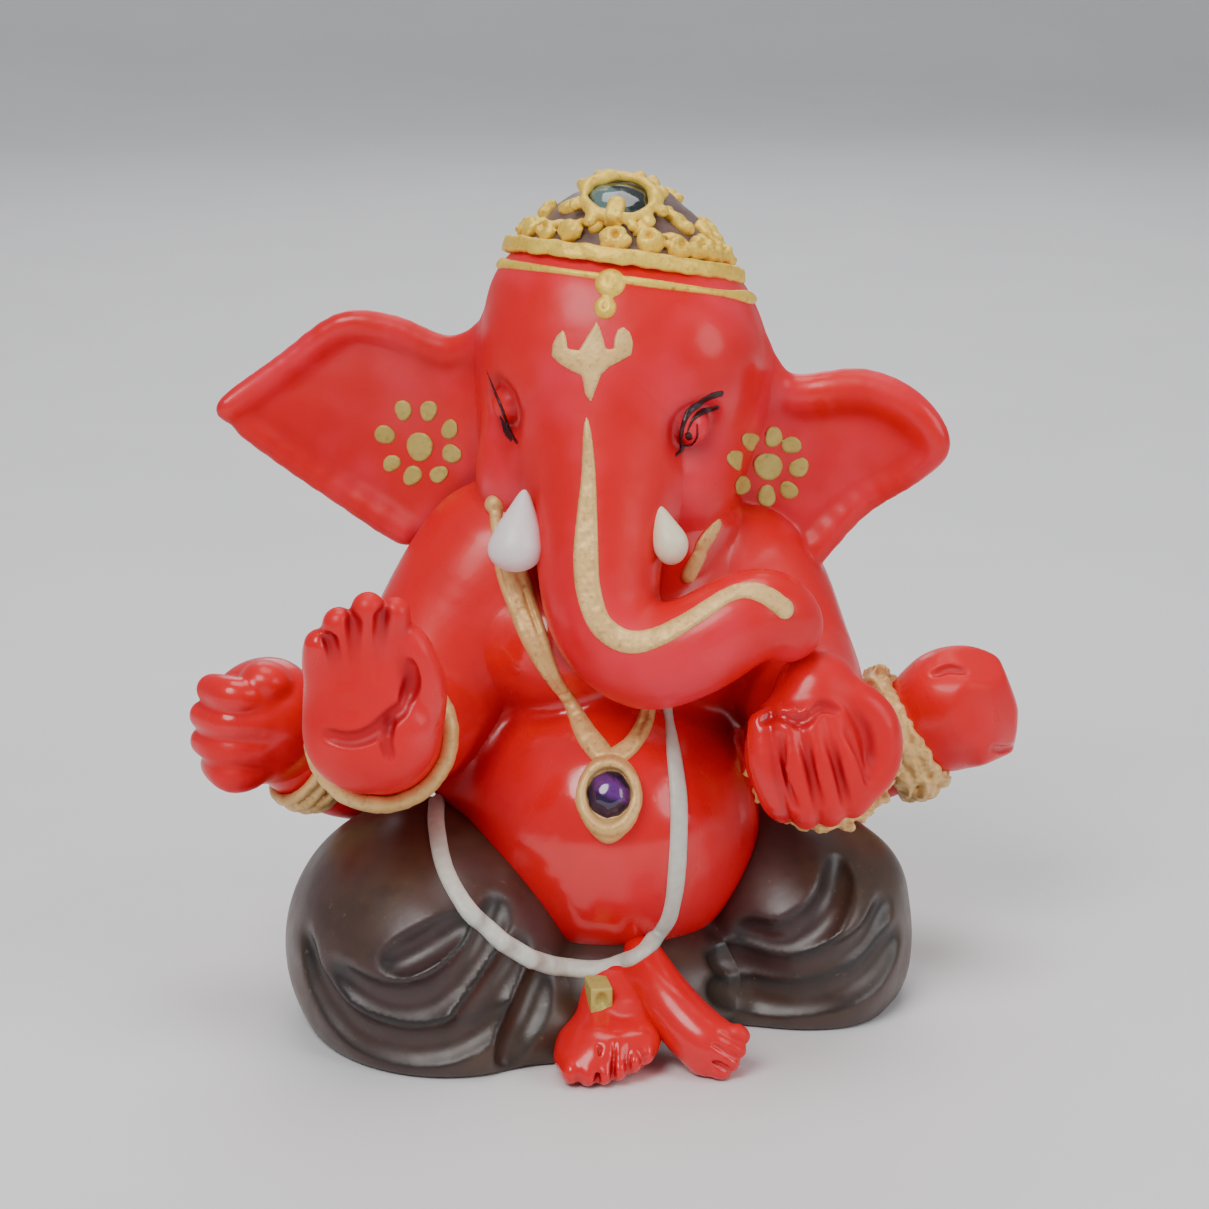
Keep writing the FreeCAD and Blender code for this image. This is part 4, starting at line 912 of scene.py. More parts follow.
groove(hand, [
    (-33.6, -21.2, 36.0), (-31.4, -21.4, 35.6), (-29.2, -21.4, 36.2), (-27.4, -21.6, 37.6),
    (-25.9, -21.4, 38.6),
], 0.34, here, 0.9)
groove(hand, [(-25.9, -21.3, 38.9), (-25.2, -21.3, 40.6), (-25.4, -21.3, 42.8)], 0.45, here, 0.7)
groove(hand, [(-27.3, -22.2, 37.2), (-27.9, -22.4, 35.4), (-27.5, -22.2, 33.6)], 0.25, here, 0.7)
skin("right_palm", "right_front_hand", hand, RED_HAND)

# the lowered hand, its fingers hanging and its thumb curled to the forefinger
here = about("left_front_hand", (16.10, -16.84, 30.80))
hand = blocks((6.5, -27, 20.5), (26.5, -8, 42), here)
hand.eggs(here, [
    ((15.0, -17.6, 30.6), (6.5, 4.7, 7.1), 0.0),
    ((16.0, -16.6, 36.0), (4.2, 4.0, 4.4), 1.2),
])
hand.put(rod((16.3, -12.4, 34.4), (16.2, -15.6, 36.0), 4.5, 3.8, here), blend=1.2)
hanging = Clay.like(hand)
for rows in (
    [(9.9, -19.8, 34.0, 1.5), (9.9, -21.0, 30.4, 1.6), (11.0, -20.8, 26.8, 1.5), (12.2, -19.4, 24.9, 1.3)],
    [
        (12.0, -20.8, 34.6, 1.5), (12.4, -22.2, 30.6, 1.65), (13.6, -21.8, 26.4, 1.55),
        (14.4, -20.2, 24.4, 1.35),
    ],
    [
        (14.4, -21.0, 34.8, 1.5), (15.0, -22.5, 30.8, 1.65), (16.2, -22.0, 26.6, 1.55),
        (16.8, -20.4, 24.6, 1.35),
    ],
    [
        (16.6, -20.8, 34.6, 1.5), (17.6, -22.2, 30.8, 1.65), (18.9, -21.6, 27.0, 1.55),
        (19.2, -20.0, 25.2, 1.3),
    ],
):
    hanging.put(limb([(a, p + 0.5, q, r) for a, p, q, r in rows], here, blend=0.3), blend=0.4)
hand.join(hanging, 1.0)
hand.put(limb([
    (17.4, -17.6, 36.4, 1.9), (19.6, -18.4, 35.8, 1.8), (21.4, -18.9, 34.2, 1.8), (22.1, -19.2, 31.8, 1.9),
    (21.5, -19.5, 29.2, 2.0), (19.6, -19.9, 27.4, 2.0), (17.4, -19.9, 26.4, 1.9),
], here), blend=0.8)
hand.put(egg((18.9, -17.6, 31.2), (3.4, 2.0, 4.4), here), blend=0.8)
groove(hand, [
    (9.6, -21.3, 34.8), (11.4, -22.2, 35.6), (13.2, -22.4, 35.0), (15.2, -22.4, 36.2), (17.2, -21.8, 35.8),
], 0.30, here, 0.7)
hand.cut(egg((13.1, -22.7, 34.6), (0.75, 0.8, 0.55), here), blend=0.35)
for a, b in (((11.0, -22.4, 33.4), (12.4, -22.9, 26.6)), ((13.3, -23.2, 33.6), (15.0, -23.4, 26.4)),
             ((15.7, -23.4, 33.8), (17.6, -23.2, 26.8)), ((18.0, -22.6, 33.8), (19.8, -22.6, 28.8))):
    hand.cut(rod(np.array(a) + (0, 0.2, 0), np.array(b) + (0, 0.2, 0), 0.32, 0.20, here), blend=0.8)
skin("left_hand", "left_front_hand", hand, RED_HAND)

# the two closed fists behind
here = about("right_rear_fist", (-37.72, 4.40, 29.89))
hand = blocks((-48, -5, 20), (-28, 14, 40), here)
hand.eggs(here, [
    ((-38.4, 4.6, 29.6), (5.4, 5.6, 6.4), 0.0),
    ((-36.4, 4.6, 30.6), (4.6, 5.0, 5.6), 2.0),
])
hand.put(rod((-33.0, 7.0, 26.0), (-36.0, 5.6, 28.0), 4.4, 4.6, here), blend=1.4)
rolls = Clay.like(hand)
for z, start, end in ((33.9, (-43.0, 2.4), (-38.4, -0.4)), (31.1, (-43.8, 2.6), (-38.6, -1.0)),
                      (28.3, (-43.8, 2.8), (-38.8, -1.0)), (25.6, (-42.8, 3.2), (-39.2, -0.2))):
    rolls.put(limb([(start[0], start[1] + 0.5, z + 0.1, 1.55), ((start[0] + end[0]) / 2 - 0.3, 0.4, z, 1.75),
                    (end[0], end[1] + 1.0, z - 0.3, 1.35)], here), blend=0.5)
hand.join(rolls, 1.1)
hand.put(egg((-37.5, 1.6, 35.0), (2.6, 2.6, 2.0), here, turn("Y", 15)), blend=0.7)
hand.cut(egg((-38.2, -2.2, 30.4), (0.6, 0.7, 0.5), here), blend=0.3)
skin("right_fist", "right_rear_fist", hand, RED_HAND)

here = about("left_rear_fist", (37.03, 5.75, 26.85))
hand = blocks((26, -4, 16), (48, 15, 38), here)
hand.eggs(here, [
    ((36.4, 6.0, 26.8), (6.6, 5.6, 6.8), 0.0),
    ((38.6, 4.6, 28.0), (5.4, 5.0, 5.4), 2.0),
    ((40.8, 4.4, 23.4), (2.8, 3.4, 3.0), 1.6),
])
hand.put(rod((31.4, 8.6, 23.8), (34.0, 7.4, 25.4), 4.6, 5.2, here), blend=1.4)
hand.put(egg((35.6, 3.2, 33.2), (2.6, 2.2, 1.2), here, turn("Y", 12)), blend=0.8)
hand.put(rod((40.0, 3.4, 23.6), (43.4, 4.2, 21.0), 2.2, 0.9, here), blend=2.2)
# knuckles pressed flat, with a sharp lower corner
for normal, reach in (((0.90, -0.20, 0.38), 6.3), ((0.97, -0.22, -0.10), 6.7), ((0.30, -0.45, 0.84), 6.0),
                      ((0.62, -0.76, 0.18), 5.6), ((0.20, -0.97, 0.10), 5.3), ((0.52, -0.80, -0.30), 6.0),
                      ((0.30, -0.3, -0.9), 6.5), ((-0.3, -0.5, 0.8), 6.4)):
    n = np.array(normal) / np.linalg.norm(normal)
    hand.cut(beyond(n, here.out((36.9, 5.6, 26.8)) + n * reach, (26, -4, 16), (48, 15, 38)), blend=0.5)
groove(hand, [(39.6, 0.2, 23.8), (41.4, 0.6, 23.0), (43.0, 1.6, 22.8)], 0.3, here, 0.5)
groove(hand, [(33.6, 0.6, 31.8), (35.2, 0.0, 32.4), (36.8, 0.4, 32.2)], 0.22, here, 0.7)
skin("left_fist", "left_rear_fist", hand, RED_HAND)


# ---- feet -------------------------------------------------------------------------------------
SOLE_GAP = 0.05  # the soles clear the ground by a hair

here = about("left_foot", (-7.20, -23.83, 3.69))
foot = blocks((-15, -31, -0.6), (3, -13, 11), here)
foot.eggs(here, [
    ((-6.6, -22.4, 2.4), (4.8, 4.8, 3.2), 0.0),
    ((-8.6, -24.0, 1.8), (3.2, 3.6, 2.0), 1.0),
    ((-3.4, -23.0, 3.2), (2.4, 3.4, 2.2), 1.0),
])
foot.put(rod((-5.2, -16.2, 5.8), (-5.8, -19.4, 3.8), 3.2, 3.0, here), blend=1.6)
foot.put(rod((-3.0, -16.4, 6.8), (-3.6, -20.2, 4.8), 2.6, 2.5, here), blend=1.4)
for x, z in ((-10.6, 1.5), (-9.0, 1.3), (-7.4, 1.4), (-5.9, 1.7), (-4.4, 2.2), (-3.0, 2.8)):
    foot.put(egg((x, -26.6 + 0.12 * (x + 7.4) ** 2 * 0.5, z), (0.95, 1.5, 1.25), here), blend=0.4)
for x in (-8.2, -6.7, -5.2, -3.7):
    low, high = (x, -27.8, 0.6 + 0.25 * (x + 8.2)), (x + 0.5, -26.3, 3.9 + 0.2 * (x + 8.2))
    foot.cut(rod(low, high, 0.26, 0.16, here), blend=0.35)
foot.stand(FOOT[2] + SOLE_GAP, 0.4)
skin("left_foot_skin", "left_foot", foot, RED_HAND)

here = about("right_foot", (1.53, -23.28, 6.92))
foot = blocks((-8, -32, -0.6), (11, -12, 16), here)
ankle = limb([
    (-1.6, -15.0, 9.6, 1.6), (-1.0, -18.6, 8.2, 1.9), (0.1, -21.4, 6.3, 2.3), (1.9, -23.7, 4.2, 2.5),
    (3.7, -25.2, 2.7, 2.5),
], here, blend=1.0)
foot.put(ankle)
foot.put(egg((4.1, -25.7, 2.5), (2.6, 1.9, 2.9), here, turn("Y", 35)), blend=1.2)
foot.put(egg((-2.8, -17.4, 5.8), (3.0, 2.6, 3.0), here), blend=1.6)
for spot in ((6.3, -26.2, 4.3), (5.8, -26.8, 3.1), (5.1, -27.1, 1.9), (4.2, -27.0, 0.9)):
    foot.put(egg(spot, (1.25, 1.1, 0.95), here, turn("Y", 38)), blend=0.35)
for a, b in (((6.9, -27.8, 3.5), (4.3, -27.2, 5.0)), ((6.2, -28.2, 2.3), (3.5, -27.6, 3.9)),
             ((5.3, -28.2, 1.2), (2.8, -27.4, 2.6))):
    foot.cut(rod(a, b, 0.28, 0.16, here), blend=0.35)
foot.stand(FOOT[2] + SOLE_GAP, 0.4)
skin("right_foot_skin", "right_foot", foot, RED_HAND)

here = about("waist_clasp", (-6.70, -18.44, 6.40))
clasp = blocks((-10, -25, 3), (-3, -15, 10), here, 0.14)


def bar_far(x, y, z):
    """A short square bar."""
    return np.maximum(np.maximum(abs(x + 6.7) - 0.75, abs(y + 19.8) - 1.6), abs(z - 6.9) - 1.0) - 0.35


clasp.put(Form(bar_far, (-8, -23, 5), (-5.4, -18, 8.6), here))
clasp.cut(egg((-6.7, -21.8, 7.0), (0.55, 0.7, 0.8), here), blend=0.3)
clasp.put(egg((-6.6, -21.4, 5.6), (0.8, 0.6, 0.5), here), blend=0.3)
skin("clasp", "waist_clasp", clasp, OLIVE)


# ---- bangles ----------------------------------------------------------------------------------
def bangle(name, node, nominal, loops, lumps, grain=1.0, extra=()):
    """One or more bands round a wrist, with uneven, crumpled faces."""
    here = about(node, nominal)
    forms = [ring(*loop, here) for loop in loops]
    clay = Clay.about(forms, FINE * 1.1, 2.5)
    for form in forms:
        clay.put(form, blend=0.35)
    for spot, radii in extra:
        clay.put(egg(spot, radii, here), blend=0.3)
    x, y, z = clay.grid()
    rough = ripple(x, y, z, 2.2 * grain, 3) + 0.6 * ripple(x, y, z, 1.1 * grain, 5)
    clay.values = clay.values + lumps * rough
    skin(name, node, clay, GOLD)


bangle("right_front_band", "right_front_bangle", (-27.40, -12.80, 32.80),
       [((-27.3, -13.0, 33.0), (-0.10, -1, 0.30), 6.75, 0.80),
        ((-27.3, -12.6, 32.9), (-0.10, -1, 0.30), 6.95, 0.75)],
       lumps=0.06)
rng = np.random.RandomState(7)
flakes = []
for k in range(60):
    a = rng.uniform(0, 2 * math.pi)
    r = 7.1 + rng.uniform(-0.3, 0.7)
    flakes.append(((17.6 + r * math.cos(a), -13.8 + rng.uniform(-1.4, 1.0), 28.9 + r * math.sin(a)),
                   (rng.uniform(0.3, 0.8), rng.uniform(0.3, 0.6), rng.uniform(0.3, 0.8))))
bangle("left_front_band", "left_front_bangle", (16.20, -12.00, 32.00),
       [((17.6, -14.4, 28.9), (0.06, -1, 0.10), 7.0, 0.75),
        ((17.6, -13.2, 28.9), (0.02, -1, 0.16), 7.2, 0.75)],
       lumps=0.30, grain=0.8, extra=flakes)
bangle("right_rear_band", "right_rear_bangle", (-32.02, 8.10, 24.40),
       [((-33.2, 7.0, 25.2), (-0.80, -0.22, 0.56), 5.3, 0.62),
        ((-32.3, 7.5, 24.6), (-0.84, -0.22, 0.50), 5.4, 0.66),
        ((-31.3, 7.9, 24.1), (-0.80, -0.30, 0.54), 5.4, 0.62),
        ((-30.5, 8.4, 23.6), (-0.84, -0.22, 0.48), 5.1, 0.55)],
       lumps=0.07)
flakes = []
collar_way = np.array((0.84, -0.16, 0.52)) / np.linalg.norm((0.84, -0.16, 0.52))
collar_u = np.cross(collar_way, (0, 1, 0)) / np.linalg.norm(np.cross(collar_way, (0, 1, 0)))
collar_v = np.cross(collar_way, collar_u)
for k in range(44):
    a = rng.uniform(0, 2 * math.pi)
    spot = np.array((31.6, 9.0, 23.4)) + collar_way * rng.uniform(-1.8, 1.8)
    spot = spot + (collar_u * math.cos(a) + collar_v * math.sin(a)) * (6.6 + rng.uniform(-0.2, 0.7))
    flakes.append((tuple(spot), (rng.uniform(0.4, 0.9), rng.uniform(0.4, 0.9), rng.uniform(0.6, 1.3))))
bangle("left_rear_band", "left_rear_bangle", (28.75, 9.30, 21.40),
       [((32.9, 8.6, 24.2), collar_way, 6.7, 0.8),
        ((31.8, 8.9, 23.5), (0.88, -0.16, 0.46), 6.9, 0.9),
        ((30.6, 9.2, 22.8), (0.82, -0.22, 0.54), 6.8, 0.85),
        ((29.6, 9.5, 22.2), (0.86, -0.1, 0.48), 6.4, 0.8),
        ((31.6, 9.0, 23.4), collar_way, 5.6, 1.3),
        ((30.0, 9.4, 22.4), collar_way, 5.4, 1.2)],
       lumps=0.22, grain=0.9, extra=flakes)


# ---- marks and trim laid on the skin ----------------------------------------------------------
# Trim is drawn flat, as seen from the front, a little above and to one side, and laid straight on.
LAY_TURN = turn("Z", VIEW_AZIMUTH) @ turn("X", -VIEW_ELEVATION)


def pressed(node, nominal):
    """The flat drawing frame of a node's trim: across, away and up."""
    return Place(middle(node) - np.array(nominal) + VIEW_CENTRE, LAY_TURN)


def laid(clay, flat, a, b):
    return clay.drop(flat.out((a, -60.0, b)), flat.rotation[:, 1], reach=110.0)


def laid_line(clay, flat, rows, count=None):
    """Rows of across, up and half width, laid on the clay: points in world and half widths."""
    line = curve(rows, count or 5 * len(rows))
    return np.array([(*laid(clay, flat, a, b), w) for a, b, w in line])


def ribbon(name, node, step, under, strips, height, look, edge=0.35, lumps=0.0, cuts=(), extra=()):
    """Paint or clay laid on a surface along lines, each point carrying its half width."""
    forms = [rod(p[:3], q[:3], p[3], q[3], PLAIN) for spots in strips for p, q in zip(spots, spots[1:])]
    block = Clay.about(forms, step, 1.6)
    region = block.like()
    for form in forms:
        region.put(form, margin=1.4)
    base = under.onto(block.axes)
    x, y, z = block.grid()
    high = height + lumps * (ripple(x, y, z, 1.9, 11) + 0.6 * ripple(x, y, z, 0.9, 12))
    block.values = soft_max(base - high, region.values, edge)
    for form, blend in extra:
        block.put(form, blend=blend)
    for form in cuts:
        block.cut(form, blend=0.2)
    block.values = np.maximum(block.values, -(base + 0.5))
    skin(name, node, block, look)


def patch(name, node, under, outlines, flat, depth, height, look, edge=0.2, lumps=0.0, front=None):
    """Shapes drawn flat and laid on a surface."""
    spots = [laid(under, flat, a, b) for outline in outlines for a, b in outline]
    low, high = np.min(spots, axis=0) - 1.2, np.max(spots, axis=0) + 1.2
    block = Clay(low, high, FINE * 0.9)
    base = under.onto(block.axes)
    a, deep, b = flat.into(*block.grid())
    a, b = np.broadcast_arrays(a, b)
    region = None
    for outline in outlines:
        far = outline_far(a, b, np.array(outline))
        if front is not None:  # a shape on a thin wall stays on its front
            heart = np.mean(outline, axis=0)
            wall = flat.into(*laid(under, flat, *heart))[1]
            far = np.maximum(far, deep - wall - front)
        region = far if region is None else np.minimum(region, far)
    x, y, z = block.grid()
    lift = height + lumps * ripple(x, y, z, 1.2, 4)
    block.values = np.maximum(soft_max(base - lift, region, edge), -(base + depth)).astype(np.float32)
    skin(name, node, block, look)


def disc(a, b, radius, seed=0, uneven=0.08):
    rng = np.random.RandomState(seed)
    turns = np.linspace(0, 2 * math.pi, 20, endpoint=False)
    p, q = rng.rand(2) * 6.28
    r = radius * (1 + uneven * np.sin(2 * turns + p) + 0.5 * uneven * np.sin(3 * turns + q))
    return list(zip(a + r * np.cos(turns), b + r * np.sin(turns)))


# the forehead's trident
flat = pressed("tilak", (-4.58, -7.89, 69.20))
TRIDENT = [
    (-0.7, 27.9), (-0.3, 26.9), (0.0, 25.9), (0.2, 25.1), (0.9, 25.1), (1.0, 26.2), (1.3, 27.0), (1.9, 27.3),
    (2.6, 26.7), (2.9, 25.6), (2.7, 24.5), (1.7, 23.9), (0.5, 23.3), (-0.3, 22.5), (-0.7, 21.4),
    (-1.3, 19.8), (-1.9, 20.7), (-2.2, 22.5), (-3.3, 23.0), (-4.4, 23.7), (-5.2, 24.5), (-5.1, 25.7),
    (-4.7, 26.5), (-4.0, 27.1), (-3.7, 26.3), (-3.6, 25.2), (-2.5, 25.0), (-2.0, 25.8), (-1.4, 26.8),
]
patch("trident", "tilak", red, [TRIDENT], flat, 0.4, 0.16, GOLD)

# the line down the trunk
flat = pressed("trunk_stripe", (3.99, -16.28, 52.97))
STRIPE = [
    (-1.75, 18.5, 0.08), (-1.7, 17.4, 0.32), (-1.6, 15.4, 0.50), (-1.55, 12.2, 0.68), (-1.7, 8.3, 0.95),
    (-1.8, 4.9, 1.12), (-1.6, 1.6, 1.12), (-0.6, -1.6, 1.05), (1.1, -3.2, 1.05), (3.0, -3.7, 1.02),
    (5.3, -3.1, 0.95), (7.6, -1.9, 0.88), (10.0, -0.4, 0.85), (12.0, 0.9, 0.80), (13.9, 1.4, 0.85),
    (15.8, 0.9, 0.95), (17.6, -0.4, 0.95),
]
wider = [(a, b, 1.14 * w) for a, b, w in STRIPE]
ribbon("trunk_line", "trunk_stripe", FINE, red, [laid_line(red, flat, wider, 70)], 0.30, GOLD, edge=0.3,
       lumps=0.05)

# the flowers of dots on the ears
for side, nominal, centre, others, seed in (
    ("left_ear", (16.72, 1.42, 55.26), (16.9, 14.2),
     [
         (15.0, 16.6), (17.4, 17.2), (19.3, 16.4), (20.1, 14.1), (19.1, 11.8), (16.8, 11.2), (14.2, 12.2),
         (13.5, 14.6),
     ], 31),
    ("right_ear", (-18.54, 12.57, 56.66), (-19.3, 16.5),
     [
         (-21.0, 20.3), (-18.3, 20.2), (-16.1, 18.2), (-15.9, 15.7), (-17.3, 13.6), (-20.1, 13.5),
         (-22.3, 14.8), (-23.0, 17.8),
     ], 51),
):
    flat = pressed(f"{side}_rosette", nominal)
    outlines = [disc(*centre, 1.5, seed, 0.05)]
    outlines += [disc(a, b, 1.02 + 0.08 * math.sin(3 * i), seed + i, 0.09) for i, (a, b) in enumerate(others)]
    patch(f"{side}_dots", f"{side}_rosette", red, outlines, flat, 0.4, 0.16, OLIVE, edge=0.25,
          lumps=0.03, front=1.1)

# the eyes: fine dark lids and a small dark pupil
for node, nominal, lines in (
    ("left_eye", (5.11, -8.75, 62.30), [
        [
            (11.6, 20.9, 0.34), (10.6, 20.6, 0.46), (9.5, 20.0, 0.46), (8.5, 19.2, 0.34), (7.8, 17.7, 0.24),
            (7.6, 16.3, 0.18), (7.8, 15.5, 0.20), (7.1, 14.8, 0.16),
        ],
        [(11.2, 19.6, 0.32), (10.2, 19.3, 0.34), (9.3, 18.8, 0.28), (8.7, 18.1, 0.16), (8.3, 17.2, 0.10)],
        [(9.2, 17.9, 0.10), (9.25, 17.2, 0.13), (9.2, 16.5, 0.14), (8.7, 15.9, 0.14), (8.0, 15.8, 0.12)],
        [(8.35, 16.75, 0.36), (8.45, 16.5, 0.36)],
    ]),
    ("right_eye", (-13.26, 0.02, 64.20), [
        [
            (-11.9, 23.7, 0.08), (-11.1, 21.6, 0.16), (-10.3, 19.7, 0.20), (-9.7, 17.9, 0.22),
            (-8.8, 16.2, 0.16),
        ],
        [(-10.45, 18.9, 0.12), (-10.2, 18.2, 0.22), (-9.9, 17.3, 0.24), (-9.3, 16.5, 0.18)],
    ]),
):
    flat = pressed(node, nominal)
    strips = [laid_line(red, flat, rows, 8 * len(rows)) for rows in lines]
    ribbon(f"{node}_lines", node, FINE * 0.7, red, strips, 0.10, LINE, edge=0.08)

# tusks
for side, nominal, low, high, cone, thick_end, blend, look in (
    ("right", (-11.59, -7.46, 53.73), (-19, -16, 44), (-6, -1, 60),
     [(-12.0, -7.4, 55.9, 0.25), (-12.3, -7.8, 54.0, 1.1), (-12.7, -8.4, 52.2, 1.9),
      (-13.1, -9.0, 50.8, 2.5)],
     ((-13.2, -9.1, 50.4), (2.75, 2.6, 2.1)), 0.5, TUSK),
    ("left", (3.72, -10.72, 54.21), (-3, -18, 46), (7, -6, 60),
     [(0.9, -11.6, 54.6, 0.3), (1.1, -12.2, 53.6, 0.75), (1.4, -12.9, 52.4, 1.25), (1.7, -13.4, 51.4, 1.55)],
     ((1.75, -13.4, 51.2), (1.65, 1.6, 1.9)), 0.4, CREAM),
):
    here = about(f"{side}_tusk", nominal)
    tusk = blocks(low, high, here)
    tusk.put(limb(cone, here, blend=blend))
    tusk.put(egg(*thick_end, here), blend=blend)
    skin(f"{side}_tusk_cone", f"{side}_tusk", tusk, look)

# the chest that straps lie on
chest = red.like()
chest.values = soft_min(lower, folds.onto(red.axes), 0.6)
chest.put(ankle, blend=0.6)

flat = pressed("necklace_right_strand", (-10.20, -8.25, 41.62))
strap = [
    (-10.9, 10.0, 0.75), (-10.9, 8.4, 0.65), (-10.4, 6.4, 0.9), (-9.4, 3.4, 1.55), (-8.2, -0.2, 1.5),
    (-6.9, -3.6, 1.35), (-5.7, -6.3, 1.0), (-4.7, -8.1, 0.75), (-3.7, -9.5, 0.7), (-2.9, -11.0, 0.85),
    (-1.7, -13.2, 1.15), (-0.4, -14.8, 1.2), (0.3, -15.8, 0.9),
]
spots = laid_line(chest, flat, strap, 60)
side, back = flat.rotation[:, 0], flat.rotation[:, 1]
cuts = []
for offset in (-0.5, 0.45):  # the two creases between the strap's cords
    creases = [row[:3] + side * offset * row[3] - back * 0.85 for row in spots[10:39]]
    cuts += [rod(p, q, 0.17, 0.17, PLAIN) for p, q in zip(creases, creases[1:])]
for k in (39, 42, 45):  # the binding
    p = spots[k][:3] - back * 0.8
    cuts.append(rod(p - side * 1.2, p + side * 1.2 + (0, 0, 0.6), 0.2, 0.2, PLAIN))
knob = egg(laid(chest, flat, -11.0, 10.1) - back * 0.4, (1.15, 1.0, 1.05), PLAIN)
ribbon("long_strap", "necklace_right_strand", FINE, chest, [spots], 0.75, GOLD, edge=0.5, lumps=0.08,
       cuts=cuts, extra=[(knob, 0.3)])
flat = pressed("necklace_left_strand", (-2.22, -10.86, 34.56))
strap = [(4.5, -10.6, 0.75), (4.2, -11.6, 0.85), (3.6, -12.9, 0.9), (2.6, -14.2, 0.95), (1.0, -15.4, 1.1)]
spots = laid_line(chest, flat, strap, 24)
cuts = []
for k in (1, 7):
    p, q = (row[:3] - back * 0.8 for row in (spots[k], spots[k + 5]))
    cuts.append(rod(p - side * 0.3, q - side * 0.1, 0.28, 0.22, PLAIN))
ribbon("short_strap", "necklace_left_strand", FINE, chest, [spots], 0.8, GOLD, edge=0.5, lumps=0.10,
       cuts=cuts)
flat = pressed("shoulder_strap", (6.00, -5.20, 48.20))
strips = [laid_line(chest, flat, [(11.2, 8.1, 0.85), (10.6, 7.0, 0.88), (9.9, 5.9, 0.85)], 10),
          laid_line(chest, flat, [(9.6, 5.0, 0.85), (9.1, 4.0, 0.88), (8.5, 2.9, 0.84)], 10)]
ribbon("shoulder_bars", "shoulder_strap", FINE, chest, strips, 0.5, GOLD, edge=0.35, lumps=0.04)

# the pendant and its stone
flat = pressed("pendant_setting", (-5.60, -16.60, 28.11))
seat_spot = laid(chest, flat, 0.5, -19.3)
face_way = chest.slope(seat_spot[None], 1.2)[0]
up_way = np.array((0, 0, 1.0)) - face_way * face_way[2]
up_way /= np.linalg.norm(up_way)
PENDANT = Place(seat_spot, np.stack([np.cross(up_way, face_way), up_way, face_way], axis=1))


def drop_outline(wide, high, narrow):
    turns = np.linspace(0, 2 * math.pi, 48, endpoint=False)
    pinch = 1 - narrow * np.maximum(0, -np.sin(turns)) ** 2
    return np.stack([wide * np.cos(turns) * pinch, high * np.sin(turns)], axis=1)


rim, bed = drop_outline(3.3, 4.5, 0.28), drop_outline(2.25, 2.6, 0.0) + (0.0, 0.35)


def plate_far(x, y, z):
    edge = outline_far(x, y, rim)
    dome_top = 1.15 - 0.020 * (x * x + y * y)
    return soft_max(edge, np.abs(z + 0.2) - dome_top, 0.7)


def bed_far(x, y, z):
    return np.maximum(outline_far(x, y, bed), 0.2 - z)


setting = Clay(seat_spot - 7.0, seat_spot + 7.0, FINE)
setting.put(Form(plate_far, (-4, -5.5, -2), (4, 5.5, 2), PENDANT))
rimline = [(*p, 0.75) for p in drop_outline(2.65, 3.35, 0.12)]
for p, q in zip(rimline, rimline[1:] + rimline[:1]):
    setting.put(rod(p, q, 0.5, 0.5, PENDANT), blend=0.4)
setting.cut(Form(bed_far, (-3, -3, 0), (3, 3.4, 3), PENDANT), blend=0.25)
setting.roughen((0.05, 1.8, 9))
skin("pendant_frame", "pendant_setting", setting, GOLD)
jewel = Clay(seat_spot - 5.0, seat_spot + 5.0, FINE * 0.8)
jewel.put(egg((0.0, 0.35, 0.25), (2.2, 2.5, 1.15), PENDANT))
rng = np.random.RandomState(3)
for k in range(9):
    a = 2 * math.pi * k / 9 + rng.uniform(-0.2, 0.2)
    n = np.array((math.cos(a) * 0.75, math.sin(a) * 0.75, 0.8))
    n /= np.linalg.norm(n)
    way = PENDANT.rotation @ n
    spot = PENDANT.out((0.0, 0.35, 0.25)) + way * (1.52 + rng.uniform(-0.05, 0.05))
    jewel.cut(beyond(way, spot, seat_spot - 6, seat_spot + 6), blend=0.08)
skin("pendant_stone", "pendant_gem", jewel, GEM)

# the white thread over the belly and lap
flat = pressed("sacred_thread", (-10.71, -15.81, 22.40))
thread = [
    (6.2, -9.0, 0.50), (6.4, -10.6, 0.55), (6.6, -11.9, 0.50), (7.0, -15.2, 0.80), (7.4, -19.0, 0.95),
    (7.45, -22.6, 0.95), (7.2, -27.4, 0.98), (6.9, -29.9, 0.90), (6.3, -32.1, 0.95), (4.7, -34.2, 0.90),
    (2.3, -35.9, 0.95), (-0.5, -36.8, 1.0), (-3.9, -36.6, 1.0), (-6.6, -35.7, 0.98), (-9.9, -33.6, 0.95),
    (-13.2, -30.5, 0.95), (-15.7, -26.7, 0.9), (-16.9, -22.9, 0.88), (-17.3, -20.4, 0.85),
]
ribbon("thread", "sacred_thread", FINE, chest, [laid_line(chest, flat, thread, 110)], 0.62, THREAD,
       edge=0.5, lumps=0.05)


# ---- the crown --------------------------------------------------------------------------------
CROWN = Place(CROWN_SEAT.origin + middle("crown_cap") - (0.21, 6.29, 79.53), CROWN_SEAT.rotation)
CAP_LINE = [
    (0.0, 9.3), (2.0, 9.05), (4.0, 8.0), (6.2, 6.5), (8.4, 4.6), (10.2, 2.4), (11.4, 0.4), (11.2, 0.0),
    (0.0, 0.0),
]


def cap_radius(h):
    heights, radii = [-2.0, 0.2, 2.4, 4.6, 6.5, 8.0, 9.05, 9.3], [11.9, 11.5, 10.2, 8.4, 6.2, 4.0, 2.0, 0.2]
    return float(np.interp(h, heights, radii))


def on_cap(angle, h, out=0.0):
    """A point on the cap: degrees round from the front, towards the figure's left, and a height."""
    a = math.radians(angle)
    r = cap_radius(h) + out
    return np.array((r * math.sin(a), -r * math.cos(a), h + 0.6 * out))


